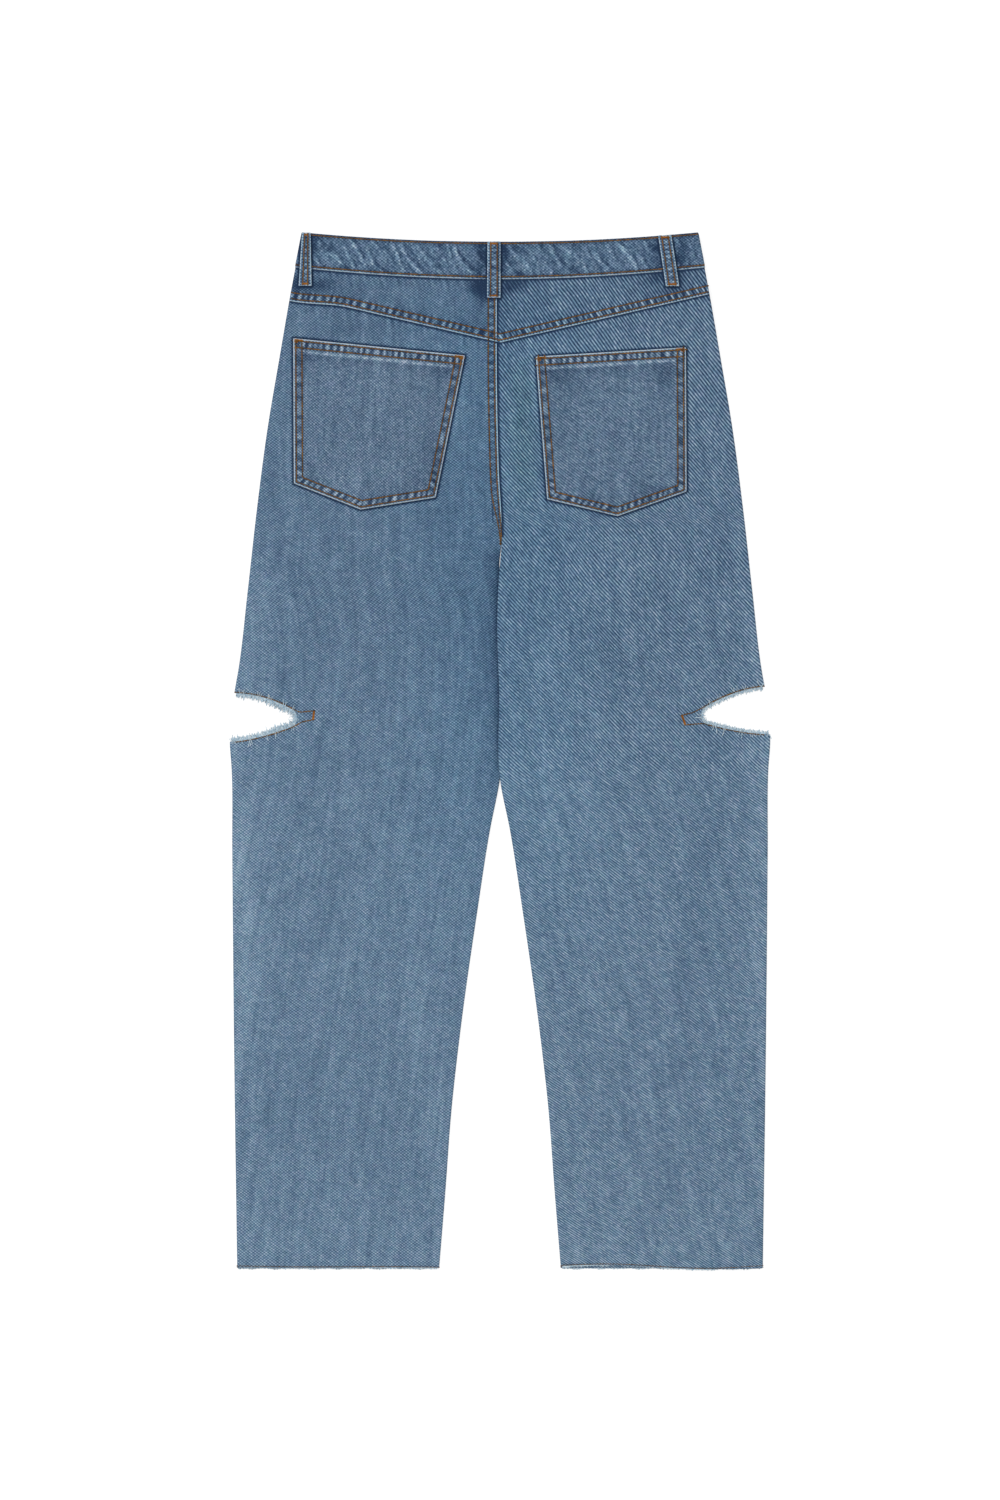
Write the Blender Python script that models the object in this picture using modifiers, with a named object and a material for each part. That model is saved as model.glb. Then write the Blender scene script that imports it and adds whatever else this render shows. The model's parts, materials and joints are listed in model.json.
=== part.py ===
"""Ripped jeans laid flat on their front, with the back side up.

Blender 4.5, metres, +Z up.  The front lies on z = 0, the waist points to +Y
and the wearer's left is -X.  The origin is under the middle of the outline.

Every piece of cloth is a patch of one flattened tube.  A ply is one of its
four quarters: left or right, front or back.  A ply is flat between its two
long edges and goes round a narrow roll at each of them, where it meets the
ply on its other face.  The sizes below are in millimetres.
"""

import math
from dataclasses import dataclass

import bmesh
import bpy
import numpy as np

MM = 0.001

LEFT, RIGHT = -1, 1

# Walls and clearances
CLOTH = 1.2  # one ply of denim
BAND = 2.4  # the waistband is two plies
STRAP = 2.0  # a belt loop is three thin plies
FRAY = 0.8  # loose threads at a raw edge
SEAM_GAP = 0.3  # between two pieces that are sewn together
ROLL_GAP = 0.6  # the same, where both go round a roll and turn as they run
LAID_GAP = 0.4  # under a piece that is sewn on top of a ply

# The side seams, as height above the origin and half width of the outline
SIDE_SEAM = (
    (-519.0, 263.0),
    (-308.0, 266.0),
    (-98.0, 268.0),
    (-18.0, 268.6),
    (12.0, 270.5),
    (61.0, 265.5),
    (81.0, 262.0),
    (161.0, 252.5),
    (241.0, 243.5),
    (321.0, 233.0),
    (401.0, 219.5),
    (461.0, 209.0),
    (519.0, 198.0),
)

# The inseams, as height and distance from the middle, up to the fork
INSEAM = (
    (-519.0, 61.0),
    (-439.0, 54.5),
    (-359.0, 48.5),
    (-279.0, 39.5),
    (-159.0, 22.5),
    (-79.0, 10.0),
    (-28.0, 0.0),
)
CROTCH = 203.0
# From the fork to the crotch the right leg lies on the left leg's hidden edge
INNER_EDGE = {
    RIGHT: INSEAM + ((60.0, -1.0), (128.0, -2.9), (180.0, -0.8), (CROTCH, 1.35)),
    LEFT: INSEAM + ((40.0, -7.0), (140.0, -8.0), (188.0, 0.5), (CROTCH, -1.05)),
}
# Above the crotch the plies meet at the seat seam and at the centre front
SEAT_SEAM = ((CROTCH, 1.2), (223.0, 1.7), (279.0, -1.0), (335.0, -2.5), (520.0, -3.0))
CENTRE_FRONT = ((CROTCH, 1.2), (240.0, 0.0), (520.0, 0.0))

# Rolls at the long edges: radius of the middle of the ply
SIDE_ROLL = 1.6
INNER_ROLL = {LEFT: 0.95, RIGHT: 1.2}
UNROLLED_ABOVE, ROLLED_BELOW = 215.0, 188.0

# What lifts the cloth off the surface, and where each lift grows to its full height
WAIST_LIFT = 3.6  # the waistband rides on the front loops and the button
WAIST_RISE = (370.0, 452.0)
CROTCH_LIFT = 3.6  # the right leg over the left one
CROTCH_RISE = (240.0, 188.0)
CROTCH_FADE = (12.0, 42.0)  # distances from the middle at which it ends
FORK_RISE = (-110.0, -28.0)  # below the fork the legs lie side by side
UNDERLAP_LIFT = 2.7  # the button end of the waistband inside the other end
UNDERLAP_FADE = (28.0, 70.0)
FLY_LIFT = 1.6  # the right front inside the left one
FLY_FADE = (6.0, 34.0)
FLY_END = 343.0
FLY_RISE = 25.0
FLY_LAP = {LEFT: 2.6, RIGHT: 12.0}  # how far each front passes the middle
FLY_LAP_RISE = 15.0

# Room between front and back
LEG_GAP = 0.45
SEAT_GAP = 2.0
SEAT_RISE = (262.0, 332.0)
MIDDLE_GAP = 2.6  # more at the middle of the waist, where its ends lie on each other
MIDDLE_RISE = (415.0, 452.0)
MIDDLE_X = -2.5
MIDDLE_FADE = (34.0, 80.0)
INSEAM_EASE = 20.0  # a ply comes down to its inner roll over this
SIDE_EASE = 26.0  # and to its side roll over this

# Waistband, as curves over the distance from the middle
BACK_TOP = (509.5, 9.5, 198.0, 2.0)  # height, rise at the side, reach, power
BACK_BOTTOM = (472.3, 12.0, 205.0, 1.8)
FRONT_TOP = (485.0, 34.0, 198.0, 2.0)
FRONT_BOTTOM = (449.0, 35.3, 205.0, 2.0)
OVERLAP_END = 20.0  # the buttonhole end passes the middle by this
UNDERLAP_END = 25.0  # and the button end by this

# Yoke seam: height in the middle and rise for each mm towards the side
YOKE_MIDDLE = 409.2
YOKE_SLOPE = 0.231
YOKE_DROOP = {LEFT: 7.0, RIGHT: 0.0}  # how far the seam's side end hangs
YOKE_DROOP_REACH = (150.0, 212.0)
YOKE_ROWS = 4
BAND_ROWS = 4

# Hems
BACK_HEM = -515.6
FRONT_HEM = -516.9
HEM_WAVE = {LEFT: 0.5, RIGHT: 2.3}
HEM_WAVE_START = 0.2  # radians
HEM_LEAN = {LEFT: 1.5, RIGHT: 0.4}  # the inseam's end hangs lower by this
FRAY_REACH = 2.3

# Columns across a ply: share of the flat width, closer near the rolls
FLAT_COLUMNS = (0.0, 0.06, 0.15, 0.30, 0.47, 0.65, 0.81, 0.93, 1.0)
ROLL_SHARE = 0.15  # of the running number u that goes to each roll
# Columns round a roll, from its tip: the short first step squares the raw edge
ROLL_COLUMNS = (0.0, 0.08, 0.5)
LEG_ROWS = (-430, -340, -250, -165, -90, -28, 35, 90)
CROTCH_ROWS = (140, 170, 188, 203, 222, 250, 295, 340)
YOKE_STEPS = 4
MEETING_ROUNDS = 5


@dataclass(frozen=True)
class Swell:
    """A long soft swell of the upper ply, where it stands off the lower one."""

    x: float
    y: float
    length: float
    width: float
    turn: float  # degrees from upright, towards +X
    height: float


SWELLS = (
    Swell(70, 120, 150, 34, -24, 1.7),
    Swell(150, 170, 120, 40, -10, 1.1),
    Swell(-75, 110, 150, 36, 16, 1.5),
    Swell(-165, 150, 120, 42, 6, 1.0),
    Swell(120, -120, 170, 40, -9, 1.6),
    Swell(205, -190, 190, 34, 3, 1.3),
    Swell(-110, -90, 150, 42, 10, 1.5),
    Swell(-200, -230, 200, 36, -2, 1.4),
    Swell(150, -360, 160, 38, -5, 1.5),
    Swell(-130, -370, 170, 40, 6, 1.6),
)


@dataclass(frozen=True)
class Slit:
    """A raw cut across the side seam, as wide as its mouth and closing inwards."""

    side: int
    top: float  # heights of the two ends of the mouth
    bottom: float
    tip: tuple  # distance from the middle and height of the inner end
    top_power: float  # how late each lip turns towards the tip
    bottom_power: float
    fray: float  # reach of the loose threads at the lips


SLITS = {
    LEFT: Slit(LEFT, 58.6, 9.8, (203.0, 33.2), 2.1, 1.6, 4.2),
    RIGHT: Slit(RIGHT, 65.0, 17.2, (201.0, 35.8), 1.9, 1.7, 3.2),
}
SLIT_TIP = 6.4  # half height of its blunt inner end
LIP_STEPS = 6
LEAST_TIP = 1.0  # half height of the tip that an inset leaves at least
BEYOND_SIDE = 20.0  # how far a slit's cutter passes the side seam
SLIT_FRAY_COLUMNS = (0.70, 0.78, 0.86, 0.93, 1.0)
SLIT_FRAY_HEIGHTS = (0.0, 74.0)
SLIT_FRAY_ROWS = 9
CUTTER_HALF = 30.0  # half height of a cutter


@dataclass(frozen=True)
class Pocket:
    """A patch pocket by its five corners, each (x, y)."""

    name: str
    top_left: tuple
    top_right: tuple
    bottom_right: tuple
    tip: tuple
    bottom_left: tuple


BACK_POCKETS = (
    Pocket(
        "back_pocket_left",
        (-206.6, 413.1), (-35.3, 395.9), (-64.6, 254.3), (-139.4, 242.2), (-206.0, 268.3),
    ),
    Pocket(
        "back_pocket_right",
        (36.0, 394.8), (185.8, 404.0), (186.5, 260.2), (117.6, 235.6), (47.4, 252.6),
    ),
)
POCKET_STEPS = 6

# Front pocket mouth: a quarter ellipse about the corner of waist and side
MOUTH_CENTRE = (215.0, 478.0)
MOUTH_REACH = (97.0, 83.0)
MOUTH_STEPS = 9
BEYOND_MOUTH = 60.0
FACING_LAP = 12.0
FACING_INSET = 1.5  # the facing lies this far behind the front panel
FACING_INSET_REACH = (2.0, 14.0)  # from the side roll inwards
FACING_LOW = 385.0
FACING_ROWS = 7
FACING_COLUMNS = (0.42, 0.52, 0.62, 0.72, 0.82, 0.93, 0.985, 1.0)


@dataclass(frozen=True)
class Loop:
    """A belt loop from its sewn-down lower end to the top of the waistband."""

    name: str
    back: bool
    low: tuple  # middle of the lower end, (x, y)
    high: tuple
    low_width: float
    high_width: float
    bow: float  # how far it stands off the waistband


BELT_LOOPS = (
    Loop("belt_loop_back_left", True, (-194.8, 465.7), (-193.6, 518.6), 12.4, 8.0, 0.9),
    Loop("belt_loop_back_centre", True, (-6.2, 453.6), (-6.0, 509.6), 12.8, 12.4, 1.0),
    Loop("belt_loop_back_right", True, (172.5, 465.3), (164.7, 515.8), 12.8, 12.6, 0.9),
    Loop("belt_loop_front_left", False, (-105.0, 445.0), (-103.0, 494.0), 12.6, 12.6, 0.5),
    Loop("belt_loop_front_right", False, (105.0, 445.0), (103.0, 494.0), 12.6, 12.6, 0.5),
)
LOOP_ROWS = 8
LOOP_COLUMNS = 2
LOOP_STEP = (7.0, 1.5)  # how far below the waistband's seam a loop starts to climb it

BUTTON_AT = (4.0, 467.0)
BUTTON_RADIUS = 8.5
BUTTON_HEIGHT = 2.7
BUTTON_STEPS = 24

# Colours, linear
DENIM = (0.122, 0.190, 0.280, 1.0)
DENIM_DARK = (0.085, 0.140, 0.220, 1.0)
THREADS = (0.52, 0.66, 0.76, 1.0)
METAL = (0.42, 0.33, 0.22, 1.0)


def ease(value, start, end):
    """0 on start's side, 1 on end's side and smooth between them."""
    share = np.clip((value - start) / (end - start), 0.0, 1.0)
    return share * share * (3.0 - 2.0 * share)


def through(knots, at):
    """A smooth curve through knots of (place, value), read at the given places."""
    places, values = np.array(knots, float).T
    slopes = np.gradient(values, places)
    at = np.clip(at, places[0], places[-1])
    k = np.clip(np.searchsorted(places, at, side="right") - 1, 0, len(places) - 2)
    span = places[k + 1] - places[k]
    t = (at - places[k]) / span
    start = (1 + 2 * t) * (1 - t) ** 2 * values[k] + t * (1 - t) ** 2 * span * slopes[k]
    end = t * t * (3 - 2 * t) * values[k + 1] + t * t * (t - 1) * span * slopes[k + 1]
    return start + end


def waist_curve(curve, distance):
    """Height of one edge of the waistband at a distance from the middle."""
    middle, rise, reach, power = curve
    return middle + rise * (np.abs(distance) / reach) ** power


def yoke_height(side, distance):
    """Height of the yoke seam at a distance from the middle."""
    droop = YOKE_DROOP[side] * ease(distance, *YOKE_DROOP_REACH)
    return YOKE_MIDDLE + YOKE_SLOPE * distance - droop


def hem_height(side, back, u):
    """Height of the hem at running number u."""
    if not back:
        return FRONT_HEM + 0.0 * u
    wave = HEM_WAVE[side] * np.sin(2.0 * math.pi * u + HEM_WAVE_START)
    return BACK_HEM + wave - HEM_LEAN[side] * (1.0 - u)


def swell_height(x, y):
    """How far the soft swells raise the upper ply."""
    raised = 0.0 * x
    for swell in SWELLS:
        turn = math.radians(swell.turn)
        along = (y - swell.y) * math.cos(turn) + (x - swell.x) * math.sin(turn)
        across = (x - swell.x) * math.cos(turn) - (y - swell.y) * math.sin(turn)
        far = (2.0 * along / swell.length) ** 2 + (across / swell.width) ** 2
        raised = raised + swell.height * np.exp(-far)
    return raised


@dataclass(frozen=True)
class Ply:
    """One quarter of the flattened tube."""

    side: int
    back: bool
    lap: float = 0.0  # how far a waistband end passes the middle
    band: bool = False
    roll_gap: float = ROLL_GAP

    def inner(self, y):
        """Distance of the inner edge from the middle."""
        if self.band:
            return -self.lap + 0.0 * y
        leg = through(INNER_EDGE[self.side], y)
        if self.back:
            seat = self.side * through(SEAT_SEAM, y) + SEAM_GAP / 2
        else:
            fly = FLY_LAP[self.side] * ease(y, FLY_END, FLY_END + FLY_LAP_RISE)
            seat = self.side * through(CENTRE_FRONT, y) + SEAM_GAP / 2 - fly
        return np.where(y < CROTCH, leg, seat)

    def rolled(self, y):
        """1 where the inner edge is an inseam, 0 where it lies flat."""
        return 0.0 * y if self.band else ease(y, UNROLLED_ABOVE, ROLLED_BELOW)

    def lift(self, distance, y):
        """How far the lower ply is lifted off the surface."""
        raised = WAIST_LIFT * ease(y, *WAIST_RISE)
        near = 1.0 - ease(distance, *CROTCH_FADE)
        crotch = CROTCH_LIFT * ease(y, *CROTCH_RISE) * near
        if self.side == RIGHT:
            crotch = crotch * ease(y, *FORK_RISE)
        else:
            crotch = crotch * ease(y, ROLLED_BELOW, CROTCH)
        return raised + crotch

    def apart(self, distance, y, start, end):
        """How far the middles of the two plies are apart."""
        rest = LEG_GAP + (SEAT_GAP - LEG_GAP) * ease(y, *SEAT_RISE)
        far = CLOTH + rest + swell_height(self.side * distance, y)
        far = far + MIDDLE_GAP * self.middle(distance) * ease(y, *MIDDLE_RISE)
        at_inseam = self.rolled(y) * (1.0 - ease(distance - start, 0.0, INSEAM_EASE))
        far = far + (2.0 * INNER_ROLL[self.side] - far) * at_inseam
        at_side = 1.0 - ease(end - distance, 0.0, SIDE_EASE)
        return far + (2.0 * SIDE_ROLL - far) * at_side

    def middle(self, distance):
        """1 at the middle of the waist, where its ends lie on each other."""
        return 1.0 - ease(np.abs(self.side * distance - MIDDLE_X), *MIDDLE_FADE)

    def limits(self, y):
        """Distances from the middle between which the ply is flat."""
        angle = self.inner_angle(y)
        radius = self.inner_radius(y)
        start = self.inner(y) + self.rolled(y) * CLOTH / 2 + radius * np.sin(angle)
        end = through(SIDE_SEAM, y) - CLOTH / 2 - SIDE_ROLL
        return start, end

    def inner_angle(self, y):
        """How far round its inner roll the ply goes."""
        full = math.pi / 2 - self.roll_gap / 2 / INNER_ROLL[self.side]
        return np.maximum(full * self.rolled(y), 1e-3)

    def inner_radius(self, y):
        """The roll keeps its length while it opens out above the crotch."""
        full = math.pi / 2 - self.roll_gap / 2 / INNER_ROLL[self.side]
        return INNER_ROLL[self.side] * full / self.inner_angle(y)

    def height(self, distance, y):
        """Height of the middle of the ply where it is flat."""
        start, end = self.limits(y)
        low = CLOTH / 2 + self.lift(distance, y)
        if self.back:
            return low + self.apart(distance, y, start, end)
        if self.side == RIGHT and self.band:
            low = low + UNDERLAP_LIFT * (1.0 - ease(distance, *UNDERLAP_FADE))
        elif self.side == RIGHT:
            fly = FLY_LIFT * ease(y, FLY_END - FLY_RISE, FLY_END)
            low = low + fly * (1.0 - ease(distance, *FLY_FADE))
        return low

    def points(self, u, y):
        """Points of the middle of the ply: u is 0 inside and 1 at the side seam."""
        start, end = self.limits(y)
        share = np.clip((u - ROLL_SHARE) / (1.0 - 2.0 * ROLL_SHARE), 0.0, 1.0)
        distance = start + (end - start) * share
        z = self.height(distance, y)
        down = -1.0 if self.back else 1.0

        angle = self.inner_angle(y) * np.clip(1.0 - u / ROLL_SHARE, 0.0, 1.0)
        distance = distance - self.inner_radius(y) * np.sin(angle)
        z = z + down * self.inner_radius(y) * (1.0 - np.cos(angle))

        full = math.pi / 2 - self.roll_gap / 2 / SIDE_ROLL
        angle = full * np.clip((u - 1.0) / ROLL_SHARE + 1.0, 0.0, 1.0)
        distance = distance + SIDE_ROLL * np.sin(angle)
        z = z + down * SIDE_ROLL * (1.0 - np.cos(angle))
        return np.stack([self.side * distance, y + 0.0 * u, z], axis=-1)

    def meet(self, u, curve):
        """Heights at which the columns u reach a curve over the distance."""
        y = curve(0.0 * u)
        for _ in range(MEETING_ROUNDS):
            y = curve(np.abs(self.points(u, y)[:, 0]))
        return y


def ply_columns(flat=FLAT_COLUMNS, inner_roll=True):
    """Running numbers u of the columns of a ply."""
    roll = ROLL_SHARE * np.array(ROLL_COLUMNS)
    middle = ROLL_SHARE + (1.0 - 2.0 * ROLL_SHARE) * np.array(flat)
    return np.concatenate([roll if inner_roll else [], middle, 1.0 - roll[::-1]])


def material(name, colour, roughness, metallic=0.0):
    """A plain Principled material."""
    made = bpy.data.materials.new(name)
    made.use_nodes = True
    shader = made.node_tree.nodes["Principled BSDF"]
    shader.inputs["Base Color"].default_value = colour
    shader.inputs["Roughness"].default_value = roughness
    shader.inputs["Metallic"].default_value = metallic
    return made


def sheet(name, points, thickness, finish, collection):
    """A wall of cloth about a grid of points in millimetres, rows by columns."""
    rows, columns = points.shape[0] - 1, points.shape[1] - 1
    grid = bmesh.new()
    bmesh.ops.create_grid(grid, x_segments=columns, y_segments=rows, size=0.5)
    for vertex in grid.verts:
        column = round((vertex.co.x + 0.5) * columns)
        row = round((vertex.co.y + 0.5) * rows)
        vertex.co = points[row, column] * MM
    mesh = bpy.data.meshes.new(name)
    grid.to_mesh(mesh)
    grid.free()
    piece = bpy.data.objects.new(name, mesh)
    mesh.materials.append(finish)
    collection.objects.link(piece)
    wall = piece.modifiers.new("wall", "SOLIDIFY")
    wall.thickness = thickness * MM
    wall.offset = 0.0
    wall.use_even_offset = True
    return piece


def prism(name, outline, collection):
    """A tall closed cutter over a flat outline of (x, y) points in millimetres."""
    curve = bpy.data.curves.new(name, "CURVE")
    curve.dimensions = "2D"
    curve.fill_mode = "BOTH"
    curve.extrude = CUTTER_HALF * MM
    spline = curve.splines.new("POLY")
    spline.points.add(len(outline) - 1)
    for point, (x, y) in zip(spline.points, outline):
        point.co = (x * MM, y * MM, 0.0, 1.0)
    spline.use_cyclic_u = True
    drawn = bpy.data.objects.new(name + "_outline", curve)
    collection.objects.link(drawn)
    bpy.context.view_layer.update()
    evaluated = drawn.evaluated_get(bpy.context.evaluated_depsgraph_get())
    mesh = bpy.data.meshes.new_from_object(evaluated)
    bpy.data.objects.remove(drawn)
    closed = bmesh.new()
    closed.from_mesh(mesh)
    bmesh.ops.remove_doubles(closed, verts=closed.verts, dist=1e-6)
    bmesh.ops.recalc_face_normals(closed, faces=closed.faces)
    closed.to_mesh(mesh)
    closed.free()
    cutter = bpy.data.objects.new(name, mesh)
    cutter.hide_render = True
    cutter.display_type = "WIRE"
    collection.objects.link(cutter)
    return cutter


def trim(piece, cutter, operation):
    """Cuts the piece with the cutter, or keeps what is inside it."""
    cut = piece.modifiers.new(operation.lower(), "BOOLEAN")
    cut.operation = operation
    cut.solver = "EXACT"
    cut.object = cutter


def slit_outline(slit, inset):
    """Outline of a slit, drawn in on every side by inset."""
    mouth = through(SIDE_SEAM, slit.bottom)
    depth = np.linspace(0.0, 1.0, LIP_STEPS + 1)
    across = mouth + (slit.tip[0] + inset - mouth) * depth
    half = max(SLIT_TIP - inset, LEAST_TIP)
    upper_fall = slit.top - inset - slit.tip[1] - half
    lower_rise = slit.tip[1] - half - slit.bottom - inset
    upper = slit.top - inset - upper_fall * depth**slit.top_power
    lower = slit.bottom + inset + lower_rise * depth**slit.bottom_power
    beyond = mouth + BEYOND_SIDE
    ring = [(beyond, upper[0]), *zip(across, upper)]
    ring += [*zip(across[::-1], lower[::-1]), (beyond, lower[0])]
    return [(slit.side * x, y) for x, y in ring]


def mouth_outline(side, reach_x, reach_y):
    """Outline of a front pocket's mouth, out to beyond the corner."""
    turn = np.linspace(math.pi, 1.5 * math.pi, MOUTH_STEPS)
    middle_x, middle_y = MOUTH_CENTRE
    arc = list(zip(middle_x + reach_x * np.cos(turn), middle_y + reach_y * np.sin(turn)))
    corner = [
        (middle_x + BEYOND_MOUTH, middle_y - reach_y),
        (middle_x + BEYOND_MOUTH, middle_y + BEYOND_MOUTH),
        (middle_x - reach_x, middle_y + BEYOND_MOUTH),
    ]
    return [(side * x, y) for x, y in arc + corner]


def leg_rows(ply, u, top):
    """Heights of a leg ply's grid, from its hem up to the given top curve."""
    start = hem_height(ply.side, ply.back, u)
    fixed = [y + 0.0 * u for y in LEG_ROWS + CROTCH_ROWS]
    last = fixed[-1]
    rise = [last + (top - last) * k / YOKE_STEPS for k in range(1, YOKE_STEPS + 1)]
    return np.array([start, *fixed, *rise])


def build_back_leg(side, finish, pieces, cutters):
    """Back leg panel from the hem to the yoke seam, with its slit."""
    ply = Ply(side, back=True)
    u = ply_columns()
    top = ply.meet(u, lambda distance: yoke_height(side, distance)) - SEAM_GAP / 2
    y = leg_rows(ply, u, top)
    name = "back_leg_" + word(side)
    panel = sheet(name, ply.points(u + 0.0 * y, y), CLOTH, finish, pieces)
    trim(panel, cutters["slit", side], "DIFFERENCE")


def build_front_leg(side, finish, pieces, cutters):
    """Front leg panel from the hem to the waistband, cut for slit and pocket."""
    ply = Ply(side, back=False)
    u = ply_columns()
    top = ply.meet(u, lambda distance: waist_curve(FRONT_BOTTOM, distance))
    y = leg_rows(ply, u, top - SEAM_GAP / 2)
    name = "front_leg_" + word(side)
    panel = sheet(name, ply.points(u + 0.0 * y, y), CLOTH, finish, pieces)
    trim(panel, cutters["slit", side], "DIFFERENCE")
    trim(panel, cutters["mouth", side], "DIFFERENCE")


def build_yoke(side, finish, pieces):
    """Back yoke between the yoke seam and the waistband."""
    ply = Ply(side, back=True)
    u = ply_columns()
    low = ply.meet(u, lambda distance: yoke_height(side, distance)) + SEAM_GAP / 2
    high = ply.meet(u, lambda distance: waist_curve(BACK_BOTTOM, distance)) - SEAM_GAP / 2
    y = low + (high - low) * np.linspace(0.0, 1.0, YOKE_ROWS)[:, None]
    sheet("yoke_" + word(side), ply.points(u + 0.0 * y, y), CLOTH, finish, pieces)


def band_quarter(side, back):
    """Grid of one quarter of the waistband, from its middle to the side."""
    if back:
        lap = 0.0
    else:
        lap = OVERLAP_END if side == LEFT else UNDERLAP_END
    ply = Ply(side, back, lap=lap, band=True, roll_gap=0.0)
    u = ply_columns(inner_roll=False)
    bottom, top = (BACK_BOTTOM, BACK_TOP) if back else (FRONT_BOTTOM, FRONT_TOP)
    low = ply.meet(u, lambda distance: waist_curve(bottom, distance)) + SEAM_GAP / 2
    high = ply.meet(u, lambda distance: waist_curve(top, distance))
    y = low + (high - low) * np.linspace(0.0, 1.0, BAND_ROWS)[:, None]
    return ply.points(u + 0.0 * y, y)


def build_waistband(finish, pieces):
    """One strip all round, with its ends on each other at the front."""
    ring = [
        band_quarter(RIGHT, False),
        band_quarter(RIGHT, True)[:, -2::-1],
        band_quarter(LEFT, True)[:, 1:],
        band_quarter(LEFT, False)[:, -2::-1],
    ]
    sheet("waistband", np.concatenate(ring, axis=1), BAND, finish, pieces)


def build_pocket(pocket, finish, pieces):
    """Back pocket, laid on the points of the leg panel under it."""
    corners = [pocket.top_left, pocket.top_right, pocket.bottom_right]
    top_left, top_right, bottom_right = (np.array(c) for c in corners)
    bottom_left, tip = np.array(pocket.bottom_left), np.array(pocket.tip)
    at_tip = (tip[0] - bottom_left[0]) / (bottom_right[0] - bottom_left[0])
    half = POCKET_STEPS // 2
    across = np.concatenate(
        [np.linspace(0.0, at_tip, half + 1), np.linspace(at_tip, 1.0, half + 1)[1:]]
    )[:, None]
    top = top_left + (top_right - top_left) * across
    left_part = bottom_left + (tip - bottom_left) * across / at_tip
    right_part = tip + (bottom_right - tip) * (across - at_tip) / (1.0 - at_tip)
    bottom = np.where(across <= at_tip, left_part, right_part)
    share = np.linspace(0.0, 1.0, POCKET_STEPS + 1)[:, None, None]
    flat = bottom + (top - bottom) * share
    x, y = flat[..., 0], flat[..., 1]
    z = outer_face(True, x, y) + LAID_GAP + CLOTH / 2
    sheet(pocket.name, np.stack([x, y, z], axis=-1), CLOTH, finish, pieces)


def outer_face(back, x, y):
    """Height of the outer face of the plies, away from the rolls."""
    sides = [Ply(side, back) for side in (LEFT, RIGHT)]
    heights = [ply.height(ply.side * x, y) for ply in sides]
    middle = np.where(x < 0.0, *heights)
    return middle + (CLOTH / 2 if back else -CLOTH / 2)


def build_facing(side, finish, pieces, cutters):
    """Front pocket facing: the hip corner that shows in the pocket's mouth."""
    ply = Ply(side, back=False)
    u = ply_columns(FACING_COLUMNS, inner_roll=False)
    high = ply.meet(u, lambda distance: waist_curve(FRONT_BOTTOM, distance)) - SEAM_GAP / 2
    y = FACING_LOW + (high - FACING_LOW) * np.linspace(0.0, 1.0, FACING_ROWS)[:, None]
    points = ply.points(u + 0.0 * y, y)
    _, end = ply.limits(y)
    points[..., 2] += FACING_INSET * ease(end - np.abs(points[..., 0]), *FACING_INSET_REACH)
    name = "pocket_facing_" + word(side)
    facing = sheet(name, points, CLOTH, finish, pieces)
    trim(facing, cutters["facing", side], "INTERSECT")


def build_loop(loop, finish, pieces):
    """Belt loop: a strap from the ply below the waistband to its top edge."""
    along = np.linspace(0.0, 1.0, LOOP_ROWS + 1)[:, None]
    across = np.linspace(-0.5, 0.5, LOOP_COLUMNS + 1)
    width = loop.low_width + (loop.high_width - loop.low_width) * along
    x = loop.low[0] + (loop.high[0] - loop.low[0]) * along + width * across
    y = loop.low[1] + (loop.high[1] - loop.low[1]) * along + 0.0 * x
    if loop.back:
        seam, out = waist_curve(BACK_BOTTOM, loop.low[0]), 1.0
    else:
        seam, out = waist_curve(FRONT_BOTTOM, loop.low[0]), -1.0
    # the waistband stands out from the ply that it is sewn to
    proud = (BAND - CLOTH) / 2 * ease(y, seam - LOOP_STEP[0], seam - LOOP_STEP[1])
    bow = loop.bow * np.sin(math.pi * along) ** 0.7
    off = proud + bow + LAID_GAP + STRAP / 2
    z = outer_face(loop.back, x, y) + out * off
    sheet(loop.name, np.stack([x, y, z], axis=-1), STRAP, finish, pieces)


def build_slit_fray(side, back, finish, pieces, cutters):
    """The loose threads round a slit, as a flat piece of their reach."""
    ply = Ply(side, back)
    u = ply_columns(SLIT_FRAY_COLUMNS, inner_roll=False)
    y = np.linspace(*SLIT_FRAY_HEIGHTS, SLIT_FRAY_ROWS)[:, None] + 0.0 * u
    name = "slit_fray_" + ("back_" if back else "front_") + word(side)
    fray = sheet(name, ply.points(u + 0.0 * y, y), FRAY, finish, pieces)
    trim(fray, cutters["fray", side], "INTERSECT")
    trim(fray, cutters["opening", side], "DIFFERENCE")


def build_hem_fray(side, back, finish, pieces):
    """The loose threads along a hem, as a narrow strip of their reach."""
    ply = Ply(side, back)
    u = ply_columns()
    high = hem_height(side, back, u) - SEAM_GAP
    y = np.array([high - FRAY_REACH, high])
    name = "hem_fray_" + ("back_" if back else "front_") + word(side)
    points = ply.points(u + 0.0 * y, hem_reach(y))
    points[..., 1] = y
    sheet(name, points, FRAY, finish, pieces)


def hem_reach(y):
    """The tube's sections end at the hem, and the fray keeps the last one."""
    return np.maximum(y, FRONT_HEM)


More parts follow.
